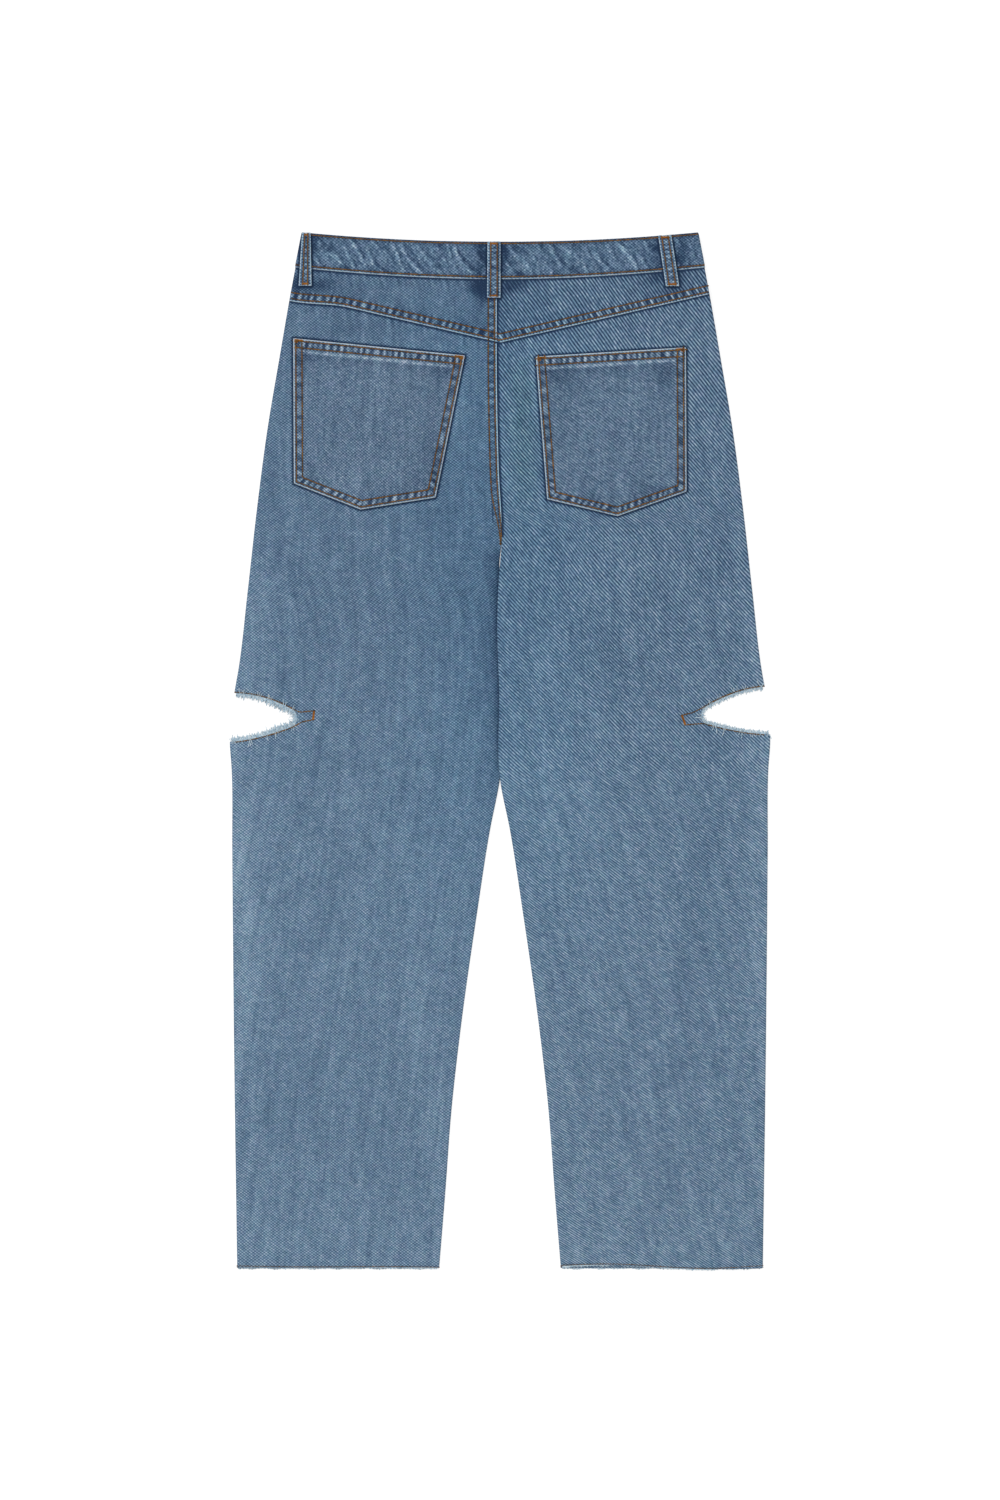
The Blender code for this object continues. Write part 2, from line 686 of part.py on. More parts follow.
def build_button(finish, pieces):
    """The waist button's cap: a turned disc with a sunk, ringed face."""
    half, height = BUTTON_RADIUS, BUTTON_HEIGHT
    profile = (
        (0.0, height), (half - 1.0, height), (half, height - 0.9), (half - 0.2, 0.6),
        (half - 1.3, 0.0), (half - 2.6, 0.7), (3.0, 0.7), (2.0, 0.3), (0.0, 0.2),
    )
    mesh = bpy.data.meshes.new("waist_button")
    points = [(x * MM, 0.0, z * MM) for x, z in profile]
    mesh.from_pydata(points, [(k, k + 1) for k in range(len(points) - 1)], [])
    mesh.materials.append(finish)
    button = bpy.data.objects.new("waist_button", mesh)
    button.location = (BUTTON_AT[0] * MM, BUTTON_AT[1] * MM, 0.0)
    pieces.objects.link(button)
    turned = button.modifiers.new("turned", "SCREW")
    turned.steps = turned.render_steps = BUTTON_STEPS
    turned.use_merge_vertices = True
    turned.merge_threshold = 0.00001


def word(side):
    """The wearer's side in words."""
    return "left" if side == LEFT else "right"


def build_cutters(collection):
    """Cutters for the slits, their loose threads and the front pockets."""
    cutters = {}
    for side in (LEFT, RIGHT):
        slit, name = SLITS[side], word(side)
        wanted = {
            "slit": slit_outline(slit, 0.0),
            "fray": slit_outline(slit, SEAM_GAP),
            "opening": slit_outline(slit, slit.fray),
            "mouth": mouth_outline(side, *MOUTH_REACH),
            "facing": mouth_outline(
                side, MOUTH_REACH[0] + FACING_LAP, MOUTH_REACH[1] - SEAM_GAP
            ),
        }
        for use, outline in wanted.items():
            cutters[use, side] = prism(f"cut_{use}_{name}", outline, collection)
    return cutters


def main():
    for leftover in list(bpy.data.objects):
        bpy.data.objects.remove(leftover)
    pieces = bpy.data.collections.new("jeans")
    helpers = bpy.data.collections.new("cutters")
    for collection in (pieces, helpers):
        bpy.context.scene.collection.children.link(collection)

    denim = material("denim", DENIM, 0.9)
    dark_denim = material("denim_unworn", DENIM_DARK, 0.9)
    threads = material("loose_threads", THREADS, 0.95)
    metal = material("button_metal", METAL, 0.4, 1.0)

    cutters = build_cutters(helpers)
    for side in (LEFT, RIGHT):
        build_back_leg(side, denim, pieces, cutters)
        build_front_leg(side, denim, pieces, cutters)
        build_yoke(side, denim, pieces)
        build_facing(side, dark_denim, pieces, cutters)
        for back in (True, False):
            build_slit_fray(side, back, threads, pieces, cutters)
            build_hem_fray(side, back, threads, pieces)
    build_waistband(denim, pieces)
    for pocket in BACK_POCKETS:
        build_pocket(pocket, denim, pieces)
    for loop in BELT_LOOPS:
        build_loop(loop, denim, pieces)
    build_button(metal, pieces)


main()
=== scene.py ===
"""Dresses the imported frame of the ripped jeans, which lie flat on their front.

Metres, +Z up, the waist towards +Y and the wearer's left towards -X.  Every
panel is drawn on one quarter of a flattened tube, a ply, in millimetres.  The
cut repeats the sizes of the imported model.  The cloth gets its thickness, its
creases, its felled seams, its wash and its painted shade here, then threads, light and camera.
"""

import functools
import itertools
import json
import logging
import math
from collections.abc import Callable
from dataclasses import dataclass, field
from enum import Enum, IntEnum

import bpy
import numpy as np
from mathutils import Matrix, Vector
from mathutils.bvhtree import BVHTree

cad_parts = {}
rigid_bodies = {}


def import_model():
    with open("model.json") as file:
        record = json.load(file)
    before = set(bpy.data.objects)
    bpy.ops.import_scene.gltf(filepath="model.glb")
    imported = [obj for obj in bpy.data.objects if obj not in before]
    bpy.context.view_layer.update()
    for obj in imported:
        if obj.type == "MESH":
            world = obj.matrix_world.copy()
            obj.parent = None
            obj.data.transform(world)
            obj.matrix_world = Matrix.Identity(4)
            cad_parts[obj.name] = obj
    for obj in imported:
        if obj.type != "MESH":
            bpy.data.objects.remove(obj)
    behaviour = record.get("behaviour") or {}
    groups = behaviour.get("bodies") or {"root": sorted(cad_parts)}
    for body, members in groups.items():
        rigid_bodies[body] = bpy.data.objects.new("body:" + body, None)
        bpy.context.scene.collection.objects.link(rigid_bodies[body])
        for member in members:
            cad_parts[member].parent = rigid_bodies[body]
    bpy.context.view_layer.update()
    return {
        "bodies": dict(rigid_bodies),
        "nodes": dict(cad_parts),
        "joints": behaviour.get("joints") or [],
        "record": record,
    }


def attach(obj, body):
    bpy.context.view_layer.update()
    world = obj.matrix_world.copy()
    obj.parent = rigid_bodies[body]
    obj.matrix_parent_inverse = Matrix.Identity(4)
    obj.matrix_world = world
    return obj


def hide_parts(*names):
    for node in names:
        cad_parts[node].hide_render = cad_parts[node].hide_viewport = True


log = logging.getLogger("jeans")

Array = np.ndarray
Knots = tuple[tuple[float, float], ...]
Colour = tuple[float, float, float]
Shades = tuple[tuple[float, Colour], ...]
Curve = Callable[[Array], Array]
Node = bpy.types.Node
Socket = bpy.types.NodeSocket
Material = bpy.types.Material
Piece = bpy.types.Object
Pieces = dict[str, Piece]
Rooted = tuple[Array, dict[str, Array]]  # points in metres, and what is kept on them

MM = 0.001
FAR = 99.0  # stands for "nowhere near", in millimetres
PRESSED = -0.05 * MM  # threads under the garment are pressed flat at this height


class Side(IntEnum):
    """The wearer's side, as the sign of x."""

    LEFT = -1
    RIGHT = 1

    @property
    def word(self) -> str:
        """The side as it stands in the names of pieces."""
        return self.name.lower()


class Layer(Enum):
    """Which half of the laid tube a ply belongs to."""

    BACK = "back"  # on top
    FRONT = "front"  # on the floor


class Lay(Enum):
    """How a stitch lies to its row."""

    ALONG = "along"
    ACROSS = "across"


def leg_name(layer: Layer, side: Side) -> str:
    """The node of one leg panel."""
    return f"{layer.value}_leg_{side.word}"


# Walls and clearances of the cloth
CLOTH = 1.2
BAND = 2.4
STRAP = 2.0
SEAM_GAP = 0.3
ROLL_GAP = 0.6
LAID_GAP = 0.4
POCKET_GAP = 0.12
HAIRLINE = 0.05

# Outline of the laid tube, as (height, distance from the middle)
SIDE_SEAM: Knots = (
    (-519.0, 263.0), (-308.0, 266.0), (-98.0, 268.0), (-18.0, 268.6), (12.0, 270.5),
    (61.0, 265.5), (81.0, 262.0), (161.0, 252.5), (241.0, 243.5), (321.0, 233.0),
    (401.0, 219.5), (461.0, 209.0), (519.0, 198.0),
)
INSEAM: Knots = (
    (-519.0, 61.0), (-439.0, 54.5), (-359.0, 48.5), (-279.0, 39.5), (-159.0, 22.5),
    (-79.0, 10.0), (-28.0, 0.0),
)
CROTCH = 203.0
INNER_EDGE: dict[Side, Knots] = {
    Side.RIGHT: INSEAM + ((60.0, -1.0), (128.0, -2.9), (180.0, -0.8), (CROTCH, 1.35)),
    Side.LEFT: INSEAM + ((40.0, -7.0), (140.0, -8.0), (188.0, 0.5), (CROTCH, -1.05)),
}
SEAT_SEAM: Knots = (
    (CROTCH, 1.2), (223.0, 1.7), (279.0, -1.0), (335.0, -2.5), (520.0, -3.0),
)
CENTRE_FRONT: Knots = ((CROTCH, 1.2), (240.0, 0.0), (520.0, 0.0))

# Rolls at the long edges, and what lifts the cloth off the floor
SIDE_ROLL = 1.6
INNER_ROLL = {Side.LEFT: 0.95, Side.RIGHT: 1.2}
UNROLLED_ABOVE, ROLLED_BELOW = 215.0, 188.0
ROLL_SHARE = 0.15
WAIST_LIFT = 3.6
WAIST_RISE = (370.0, 452.0)
CROTCH_LIFT = 3.6
UNDERLAP_LIFT = 2.7
FLY_LIFT = 1.6
FLY_END = 343.0
FLY_LAP = {Side.RIGHT: 12.0, Side.LEFT: 2.6}
LEG_GAP = 0.45
SEAT_GAP = 2.0
WAIST_GAP = 2.6
AIR = 0.55  # how far the upper ply stands off the lower one all over

# Waistband edges, as (height, rise at the side, reach, power)
BACK_TOP = (509.5, 9.5, 198.0, 2.0)
BACK_BOTTOM = (472.3, 12.0, 205.0, 1.8)
FRONT_TOP = (485.0, 34.0, 198.0, 2.0)
FRONT_BOTTOM = (449.0, 35.3, 205.0, 2.0)
OVERLAP_END = 20.0
UNDERLAP_END = 25.0

YOKE_MIDDLE = 409.2
YOKE_SLOPE = 0.231
OFF_YOKE = 0.974  # distance off the sloping seam for each millimetre of height
ALONG_YOKE = 1.026  # and along it for each millimetre across
HIP_LEVEL, WAIST_LEVEL = 430.0, 490.0  # heights at which columns are counted
YOKE_DROOP = {Side.LEFT: 7.0, Side.RIGHT: 0.0}

BACK_HEM = -515.6
FRONT_HEM = -516.9
HEM_WAVE = {Side.LEFT: 0.5, Side.RIGHT: 2.3}
HEM_LEAN = {Side.LEFT: 1.5, Side.RIGHT: 0.4}

# A felled seam: the upper panel's folded edge on the lower panel
FELL = 9.2  # width of the raised strip
FELL_RISE = 1.35
FELL_UNDER = 6.0  # how far the lower panel runs on beneath it
ROPE_PERIOD = 7.4
ROPE_HEIGHT = 0.22
SEAT_ROWS = 5.2  # how far in the middle of its two rows of stitches is
YOKE_ROWS = 5.3
LAP_START = 214.0  # the left panel laps over the right one above this height


def ease(value: Array | float, start: float, end: float) -> Array:
    """Gives 0 on start's side, 1 on end's side and a smooth step between them."""
    share = np.clip((value - start) / (end - start), 0.0, 1.0)
    return share * share * (3.0 - 2.0 * share)


def bell(value: Array, middle: float, width: float) -> Array:
    """1 at the middle, falling softly to 0 on both sides."""
    return np.exp(-(((value - middle) / width) ** 2))


def between(inset: Array, middle: float, full: float, none: float) -> Array:
    """1 about the middle of two rows of stitches, and 0 from the distance none on."""
    return 1.0 - ease(np.abs(inset - middle), full, none)


def places(*parts: Array) -> Array:
    """Coordinates joined into places, in the last axis."""
    return np.stack(parts, axis=-1)


def through(knots: Knots, at: Array | float) -> Array:
    """Reads a smooth curve through knots.

    Args:
        knots: Pairs of place and value, in order.
        at: Places to read the curve at.

    Returns:
        The curve's values, held at the ends.
    """
    stops, values = np.array(knots, float).T
    slopes = np.gradient(values, stops)
    at = np.clip(at, stops[0], stops[-1])
    k = np.clip(np.searchsorted(stops, at, side="right") - 1, 0, len(stops) - 2)
    span = stops[k + 1] - stops[k]
    t = (at - stops[k]) / span
    start = (1 + 2 * t) * (1 - t) ** 2 * values[k] + t * (1 - t) ** 2 * span * slopes[k]
    end = t * t * (3 - 2 * t) * values[k + 1] + t * t * (t - 1) * span * slopes[k + 1]
    return start + end


def waver(at: Array | float, seed: float) -> Array:
    """Reads an uneven wave between -1 and 1 whose period is about 1.

    Args:
        at: Places to read it at.
        seed: Number of the wave.

    Returns:
        Its values.
    """
    turn, phase = 2.0 * math.pi * np.asarray(at), 2.399 * seed
    waves = ((0.7, 0.618, 2.1, 1.3), (0.5, 1.73, 0.7, 4.0))
    slow, fast = (size * np.sin(rate * turn + by * phase + start) for size, rate, by, start in waves)
    return (np.sin(turn + phase) + slow + fast) / 2.2


def rope(along: Array, seed: float, period: float = ROPE_PERIOD) -> Array:
    """Reads the uneven rise and fall of a felled seam.

    Args:
        along: Places along its run.
        seed: Number of the wave.
        period: Distance from one rise to the next.

    Returns:
        Values about zero.
    """
    place = along / period + 0.4 * waver(along / 41.0, seed)
    strength = 0.8 + 0.5 * waver(along / 19.0, seed + 3.0)
    wave = np.sin(2.0 * math.pi * place)
    return np.sign(wave) * np.abs(wave) ** 0.7 * strength


def waist_curve(curve: tuple[float, ...], distance: Array | float) -> Array:
    """Height of one edge of the waistband at a distance from the middle."""
    middle, rise, reach, power = curve
    return middle + rise * (np.abs(distance) / reach) ** power


def yoke_height(side: Side, distance: Array | float) -> Array:
    """Height of the yoke seam at a distance from the middle."""
    droop = YOKE_DROOP[side] * ease(distance, 150.0, 212.0)
    return YOKE_MIDDLE + YOKE_SLOPE * distance - droop


def hem_height(side: Side, layer: Layer, u: Array) -> Array:
    """Height of the hem at running number u."""
    wave = HEM_WAVE[side] * np.sin(2.0 * math.pi * u + 0.2) - HEM_LEAN[side] * (1.0 - u)
    return BACK_HEM + wave if layer is Layer.BACK else FRONT_HEM + 0.0 * u


@dataclass(frozen=True)
class Oval:
    """A soft oval on the laid cloth: a ridge or trough, or a paler or darker place."""

    x: float
    y: float
    length: float
    width: float
    turn: float  # degrees from upright, towards +X
    amount: float

    def at(self, x: Array, y: Array) -> Array:
        """Reads the oval.

        Args:
            x: Places across.
            y: Heights.

        Returns:
            Its amount at each point.
        """
        turn = math.radians(self.turn)
        along = (y - self.y) * math.cos(turn) + (x - self.x) * math.sin(turn)
        across = (x - self.x) * math.cos(turn) - (y - self.y) * math.sin(turn)
        far = (2.0 * along / self.length) ** 2 + (across / self.width) ** 2
        return self.amount * np.exp(-far)


def ovals(*rows: tuple[float, ...]) -> tuple[Oval, ...]:
    """Makes ovals from rows of numbers, in the order of their fields."""
    return tuple(Oval(*row) for row in rows)


def gathered(group: tuple[Oval, ...], x: Array, y: Array) -> Array:
    """The sum of all ovals of a group at points of the cloth."""
    return sum((oval.at(x, y) for oval in group), 0.0 * (x + y))


# Long soft swells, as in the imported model, in millimetres of height
SWELLS = ovals(
    (70, 120, 150, 34, -24, 1.7), (150, 170, 120, 40, -10, 1.1), (-75, 110, 150, 36, 16, 1.5),
    (-165, 150, 120, 42, 6, 1.0), (120, -120, 170, 40, -9, 1.6), (205, -190, 190, 34, 3, 1.3),
    (-110, -90, 150, 42, 10, 1.5), (-200, -230, 200, 36, -2, 1.4), (150, -360, 160, 38, -5, 1.5),
    (-130, -370, 170, 40, 6, 1.6),
)
# Creases on top of them: troughs are negative
CREASES = ovals(
    (36, 300, 150, 9, -4, -0.75), (52, 300, 150, 10, -5, 0.5), (108, 64, 120, 9, -22, -0.6),
    (124, 70, 120, 10, -22, 0.5), (205, -243, 300, 9, 1, -0.55), (188, -240, 260, 9, 1, 0.35),
    (160, -208, 170, 8, -3, -0.4), (22, 20, 190, 14, -14, 0.55), (48, 150, 170, 9, -20, -0.45),
    (70, 165, 170, 10, -22, 0.45), (150, 120, 130, 9, -30, -0.3), (-40, 150, 150, 10, 20, -0.5),
    (-62, 155, 160, 11, 21, 0.45), (-95, 60, 150, 9, 15, -0.35), (-160, 60, 120, 9, 5, 0.35),
    (-180, 90, 160, 9, 4, -0.35), (-120, -200, 220, 10, 2, 0.4), (-140, -210, 220, 9, 1, -0.35),
    (-70, -260, 200, 9, -4, -0.35), (-230, -60, 240, 9, 1, 0.4), (-215, -80, 220, 8, 0, -0.35),
    (90, -330, 200, 9, -6, -0.35), (108, -330, 200, 9, -6, 0.35), (225, -420, 120, 9, 2, 0.3),
    (-170, -350, 90, 8, 86, 0.3), (-120, -333, 110, 7, 92, -0.3), (-150, 210, 110, 8, 30, -0.25),
    (225, 250, 150, 10, -8, -0.35), (-232, 260, 140, 10, 8, 0.35),
)


SLIT_TIP = 6.4  # half the width that a slit keeps up to its rounded end
SLIT_ROUND = 4.0  # length of the rounded end


@dataclass(frozen=True)
class Slit:
    """A raw cut across the side seam, as wide as its mouth and closing inwards."""

    side: Side
    top: float
    bottom: float
    tip: tuple[float, float]
    top_power: float
    bottom_power: float
    fray: float
    shaggy: float  # how much longer the loose threads are near the tip

    def lips(self, distance: Array) -> tuple[Array, Array]:
        """Heights of both lips.

        Args:
            distance: Distances from the middle.

        Returns:
            The lower and the upper lip, which meet at the tip.
        """
        mouth = float(through(SIDE_SEAM, self.bottom))
        depth = np.clip((mouth - distance) / (mouth - self.tip[0]), 0.0, 1.0)
        upper = self.top - (self.top - self.tip[1] - SLIT_TIP) * depth**self.top_power
        rise = self.tip[1] - SLIT_TIP - self.bottom
        lower = self.bottom + rise * depth**self.bottom_power
        inward = np.clip((distance - self.tip[0]) / SLIT_ROUND, 0.0, 1.0)
        blunt = np.sqrt(1.0 - (1.0 - inward) ** 2)
        middle = self.tip[1]
        return middle + (lower - middle) * blunt, middle + (upper - middle) * blunt


SLITS = {
    Side.LEFT: Slit(Side.LEFT, 58.6, 9.8, (203.0, 33.2), 2.1, 1.6, 4.4, 0.36),
    Side.RIGHT: Slit(Side.RIGHT, 65.0, 17.2, (201.0, 35.8), 1.9, 1.7, 3.2, 0.12),
}


@dataclass(frozen=True)
class Ply:
    """One quarter of the flattened tube, flat between a roll at each long edge."""

    side: Side
    layer: Layer
    lap: float = 0.0
    band: bool = False
    roll_gap: float = ROLL_GAP
    strip_top: float = 9.0 * FAR  # where the felled strip goes under another piece

    @property
    def back(self) -> bool:
        """Whether the ply is on top."""
        return self.layer is Layer.BACK

    def inner(self, y: Array) -> Array:
        """Reads the inner edge.

        Args:
            y: Heights.

        Returns:
            Its distances from the middle.
        """
        if self.band:
            return -self.lap + 0.0 * y
        leg = through(INNER_EDGE[self.side], y)
        if self.back:
            seat = self.side * through(SEAT_SEAM, y) + SEAM_GAP / 2
            if self.side is Side.RIGHT:
                seat = seat - FELL_UNDER * ease(y, 222.0, 245.0)
        else:
            fly = FLY_LAP[self.side] * ease(y, FLY_END, FLY_END + 15.0)
            seat = self.side * through(CENTRE_FRONT, y) + SEAM_GAP / 2 - fly
        return np.where(y < CROTCH, leg, seat)

    def rolled(self, y: Array) -> Array:
        """1 where the inner edge is an inseam, 0 where it lies flat."""
        return 0.0 * y if self.band else ease(y, UNROLLED_ABOVE, ROLLED_BELOW)

    def lift(self, distance: Array, y: Array) -> Array:
        """Reads how far the lower ply is lifted off the floor.

        Args:
            distance: Distances from the middle.
            y: Heights.

        Returns:
            The lift.
        """
        raised = WAIST_LIFT * ease(y, *WAIST_RISE)
        near = 1.0 - ease(distance, 12.0, 42.0)
        crotch = CROTCH_LIFT * ease(y, 240.0, 188.0) * near
        if self.side is Side.RIGHT:
            crotch = crotch * ease(y, -110.0, -28.0)
        else:
            crotch = crotch * ease(y, 188.0, CROTCH)
        return raised + crotch

    def apart(self, distance: Array, y: Array, start: Array, end: Array) -> Array:
        """Reads how far the middles of the two plies are apart.

        Args:
            distance: Distances from the middle.
            y: Heights.
            start: Where the ply starts to be flat.
            end: Where it ends to be flat.

        Returns:
            The distances in height.
        """
        x = self.side * distance
        rest = LEG_GAP + (SEAT_GAP - LEG_GAP) * ease(y, 262.0, 332.0)
        far = CLOTH + rest + gathered(SWELLS, x, y)
        middle = 1.0 - ease(np.abs(x + 2.5), 34.0, 80.0)
        far = far + WAIST_GAP * middle * ease(y, 415.0, 452.0)
        far = far + AIR + gathered(CREASES, x, y)
        at_inseam = self.rolled(y) * (1.0 - ease(distance - start, 0.0, 20.0))
        far = far + (2.0 * INNER_ROLL[self.side] - far) * at_inseam
        at_side = 1.0 - ease(end - distance, 0.0, 26.0)
        return far + (2.0 * SIDE_ROLL - far) * at_side

    def limits(self, y: Array) -> tuple[Array, Array]:
        """Reads where the ply is flat.

        Args:
            y: Heights.

        Returns:
            The distances from the middle where that starts and ends.
        """
        radius, angle = self.inner_roll(y)
        start = self.inner(y) + self.rolled(y) * CLOTH / 2 + radius * np.sin(angle)
        end = through(SIDE_SEAM, y) - CLOTH / 2 - SIDE_ROLL
        return start, end

    def flat_at(self, y: float) -> tuple[float, float]:
        """The same two distances at one height, as plain numbers."""
        start, end = self.limits(np.array(y))
        return float(start), float(end)

    def inner_roll(self, y: Array) -> tuple[Array, Array]:
        """Sizes the inner roll, which opens out above the crotch.

        Args:
            y: Heights.

        Returns:
            Its radius and its turn.
        """
        full = math.pi / 2 - self.roll_gap / 2 / INNER_ROLL[self.side]
        angle = np.maximum(full * self.rolled(y), 1e-3)
        return INNER_ROLL[self.side] * full / angle, angle

    def felled(self, x: Array, y: Array) -> tuple[Array, Array]:
        """The folded edge of the left panel where it laps over the seat seam.

        Args:
            x: Places across the garment.
            y: Heights.

        Returns:
            Distance in from the fold, FAR where there is none, and its strength.
        """
        if not self.back or self.band or self.side is Side.RIGHT:
            return np.full(np.broadcast(x, y).shape, FAR), 0.0 * (x + y)
        strength = ease(y, LAP_START, 240.0) * ease(y, self.strip_top, self.strip_top - 4.0)
        return through(SEAT_SEAM, y) - SEAM_GAP / 2 - x, strength + 0.0 * x

    def strip(self, x: Array, y: Array) -> Array:
        """Reads how far the felled strip stands out, with its roping.

        Args:
            x: Places across the garment.
            y: Heights.

        Returns:
            The rise.
        """
        inset, strength = self.felled(x, y)
        raised = FELL_RISE * (1.0 - ease(inset, FELL, FELL + 3.0))
        roping = ROPE_HEIGHT * rope(y, 5.0) * between(inset, SEAT_ROWS, 2.2, 4.2)
        return strength * (raised + roping)

    def height(self, distance: Array, y: Array) -> Array:
        """Reads the height of the middle of the ply where it is flat.

        Args:
            distance: Distances from the middle.
            y: Heights along the garment.

        Returns:
            The heights off the floor.
        """
        start, end = self.limits(y)
        low = CLOTH / 2 + self.lift(distance, y)
        if self.back:
            return low + self.apart(distance, y, start, end) + self.strip(self.side * distance, y)
        if self.side is Side.RIGHT and self.band:
            low = low + UNDERLAP_LIFT * (1.0 - ease(distance, 28.0, 70.0))
        elif self.side is Side.RIGHT:
            fly = FLY_LIFT * ease(y, FLY_END - 25.0, FLY_END)
            low = low + fly * (1.0 - ease(distance, 6.0, 34.0))
        return low

    def points(self, u: Array, y: Array) -> Array:
        """Points of the middle of the ply.

        Args:
            u: Running numbers, 0 at the inner edge and 1 at the side seam.
            y: Heights.

        Returns:
            The points in millimetres, in the last axis.
        """
        start, end = self.limits(y)
        share = np.clip((u - ROLL_SHARE) / (1.0 - 2.0 * ROLL_SHARE), 0.0, 1.0)
        distance = start + (end - start) * share
        z = self.height(distance, y)
        down = -1.0 if self.back else 1.0
        radius, full = self.inner_roll(y)
        angle = full * np.clip(1.0 - u / ROLL_SHARE, 0.0, 1.0)
        distance = distance - radius * np.sin(angle)
        z = z + down * radius * (1.0 - np.cos(angle))
        full = math.pi / 2 - self.roll_gap / 2 / SIDE_ROLL
        angle = full * np.clip((u - 1.0) / ROLL_SHARE + 1.0, 0.0, 1.0)
        distance = distance + SIDE_ROLL * np.sin(angle)
        z = z + down * SIDE_ROLL * (1.0 - np.cos(angle))
        return places(self.side * distance, y + 0.0 * u, z)

    def spread(self, u: Array, y: Array) -> Array:
        """Measures along the cloth, round the rolls.

        Args:
            u: Running numbers.
            y: Heights.

        Returns:
            Distances from where the ply starts to be flat.
        """
        start, end = self.limits(y)
        flat = (end - start) * (u - ROLL_SHARE) / (1.0 - 2.0 * ROLL_SHARE)
        inner = np.minimum(u - ROLL_SHARE, 0.0) / ROLL_SHARE * 1.5
        outer = np.maximum(u - 1.0 + ROLL_SHARE, 0.0) / ROLL_SHARE * 2.2
        return np.clip(flat, 0.0, end - start) + inner + outer

    def meet(self, u: Array, curve: Curve) -> Array:
        """Finds where columns reach a curve.

        Args:
            u: Running numbers of the columns.
            curve: Height over the distance from the middle.

        Returns:
            The heights.
        """
        y = curve(0.0 * u)
        for _ in range(9):
            y = curve(np.abs(self.points(u, y)[:, 0]))
        return y


def outer_face(layer: Layer, x: Array, y: Array) -> Array:
    """Reads the outer face of the plies, away from the rolls.

    Args:
        layer: Back or front.
        x: Places across.
        y: Heights along the garment.

    Returns:
        The heights off the floor.
    """
    left, right = (Ply(side, layer) for side in Side)
    middle = np.where(x < through(SEAT_SEAM, y), left.height(-x, y), right.height(x, y))
    return middle + (CLOTH / 2 if layer is Layer.BACK else -CLOTH / 2)


def columns(width: float, step: float, extra: tuple[float, ...] = ()) -> Array:
    """Running numbers of the columns of a ply.

    Args:
        width: Flat width of the ply, in millimetres.
        step: Usual distance between two columns.
        extra: More columns, by their distance from the inner limit.

    Returns:
        The running numbers, with those round both rolls.
    """
    usual = np.linspace(0.0, width, max(2, round(width / step)) + 1)
    near = np.array(sorted(extra))
    if len(near):
        clear = np.min(np.abs(usual[:, None] - near[None, :]), axis=1) > 0.45 * step
        clear[[0, -1]] = True
        usual = np.sort(np.concatenate([usual[clear], near]))
    roll = ROLL_SHARE * np.array([0.0, 0.25, 0.5, 0.75])
    return np.concatenate([roll, ROLL_SHARE + (1.0 - 2.0 * ROLL_SHARE) * usual / width, 1.0 - roll[::-1]])


def segment_distance(x: Array, y: Array, ring: Array, closed: bool = True) -> tuple[Array, Array]:
    """Distance of points from an outline.

    Args:
        x: Places across.
        y: Heights.
        ring: Corners of the outline, one per row.
        closed: Whether the last corner joins the first.

    Returns:
        The distance and how far along the outline the nearest point is.
    """
    best, place = np.full(np.broadcast(x, y).shape, 1e9), np.zeros(np.broadcast(x, y).shape)
    run = 0.0
    ends = np.roll(ring, -1, axis=0) if closed else ring[1:]
    for (ax, ay), (bx, by) in zip(ring, ends):
        span = math.hypot(bx - ax, by - ay)
        t = np.clip(((x - ax) * (bx - ax) + (y - ay) * (by - ay)) / span**2, 0.0, 1.0)
        far = np.hypot(x - ax - t * (bx - ax), y - ay - t * (by - ay))
        nearer = far < best
        best = np.where(nearer, far, best)
        place = np.where(nearer, run + t * span, place)
        run += span
    return best, place


def inside(x: Array, y: Array, ring: Array) -> Array:
    """Tells which points lie inside a closed outline.

    Args:
        x: Places across.
        y: Heights.
        ring: Corners of the outline, one per row.

    Returns:
        True for each of them.
    """
    found = np.zeros(np.broadcast(x, y).shape, bool)
    for (ax, ay), (bx, by) in zip(ring, np.roll(ring, -1, axis=0)):
        if ay == by:
            continue
        crossing = ax + (y - ay) / (by - ay) * (bx - ax)
        found ^= ((ay > y) != (by > y)) & (x < crossing)
    return found


def clear_of(x: Array, y: Array, ring: Array) -> tuple[Array, Array]:
    """Distance out from a closed outline, 0 inside it, and the place along it."""
    away, along = segment_distance(x, y, ring)
    return np.where(inside(x, y, ring), 0.0, away), along
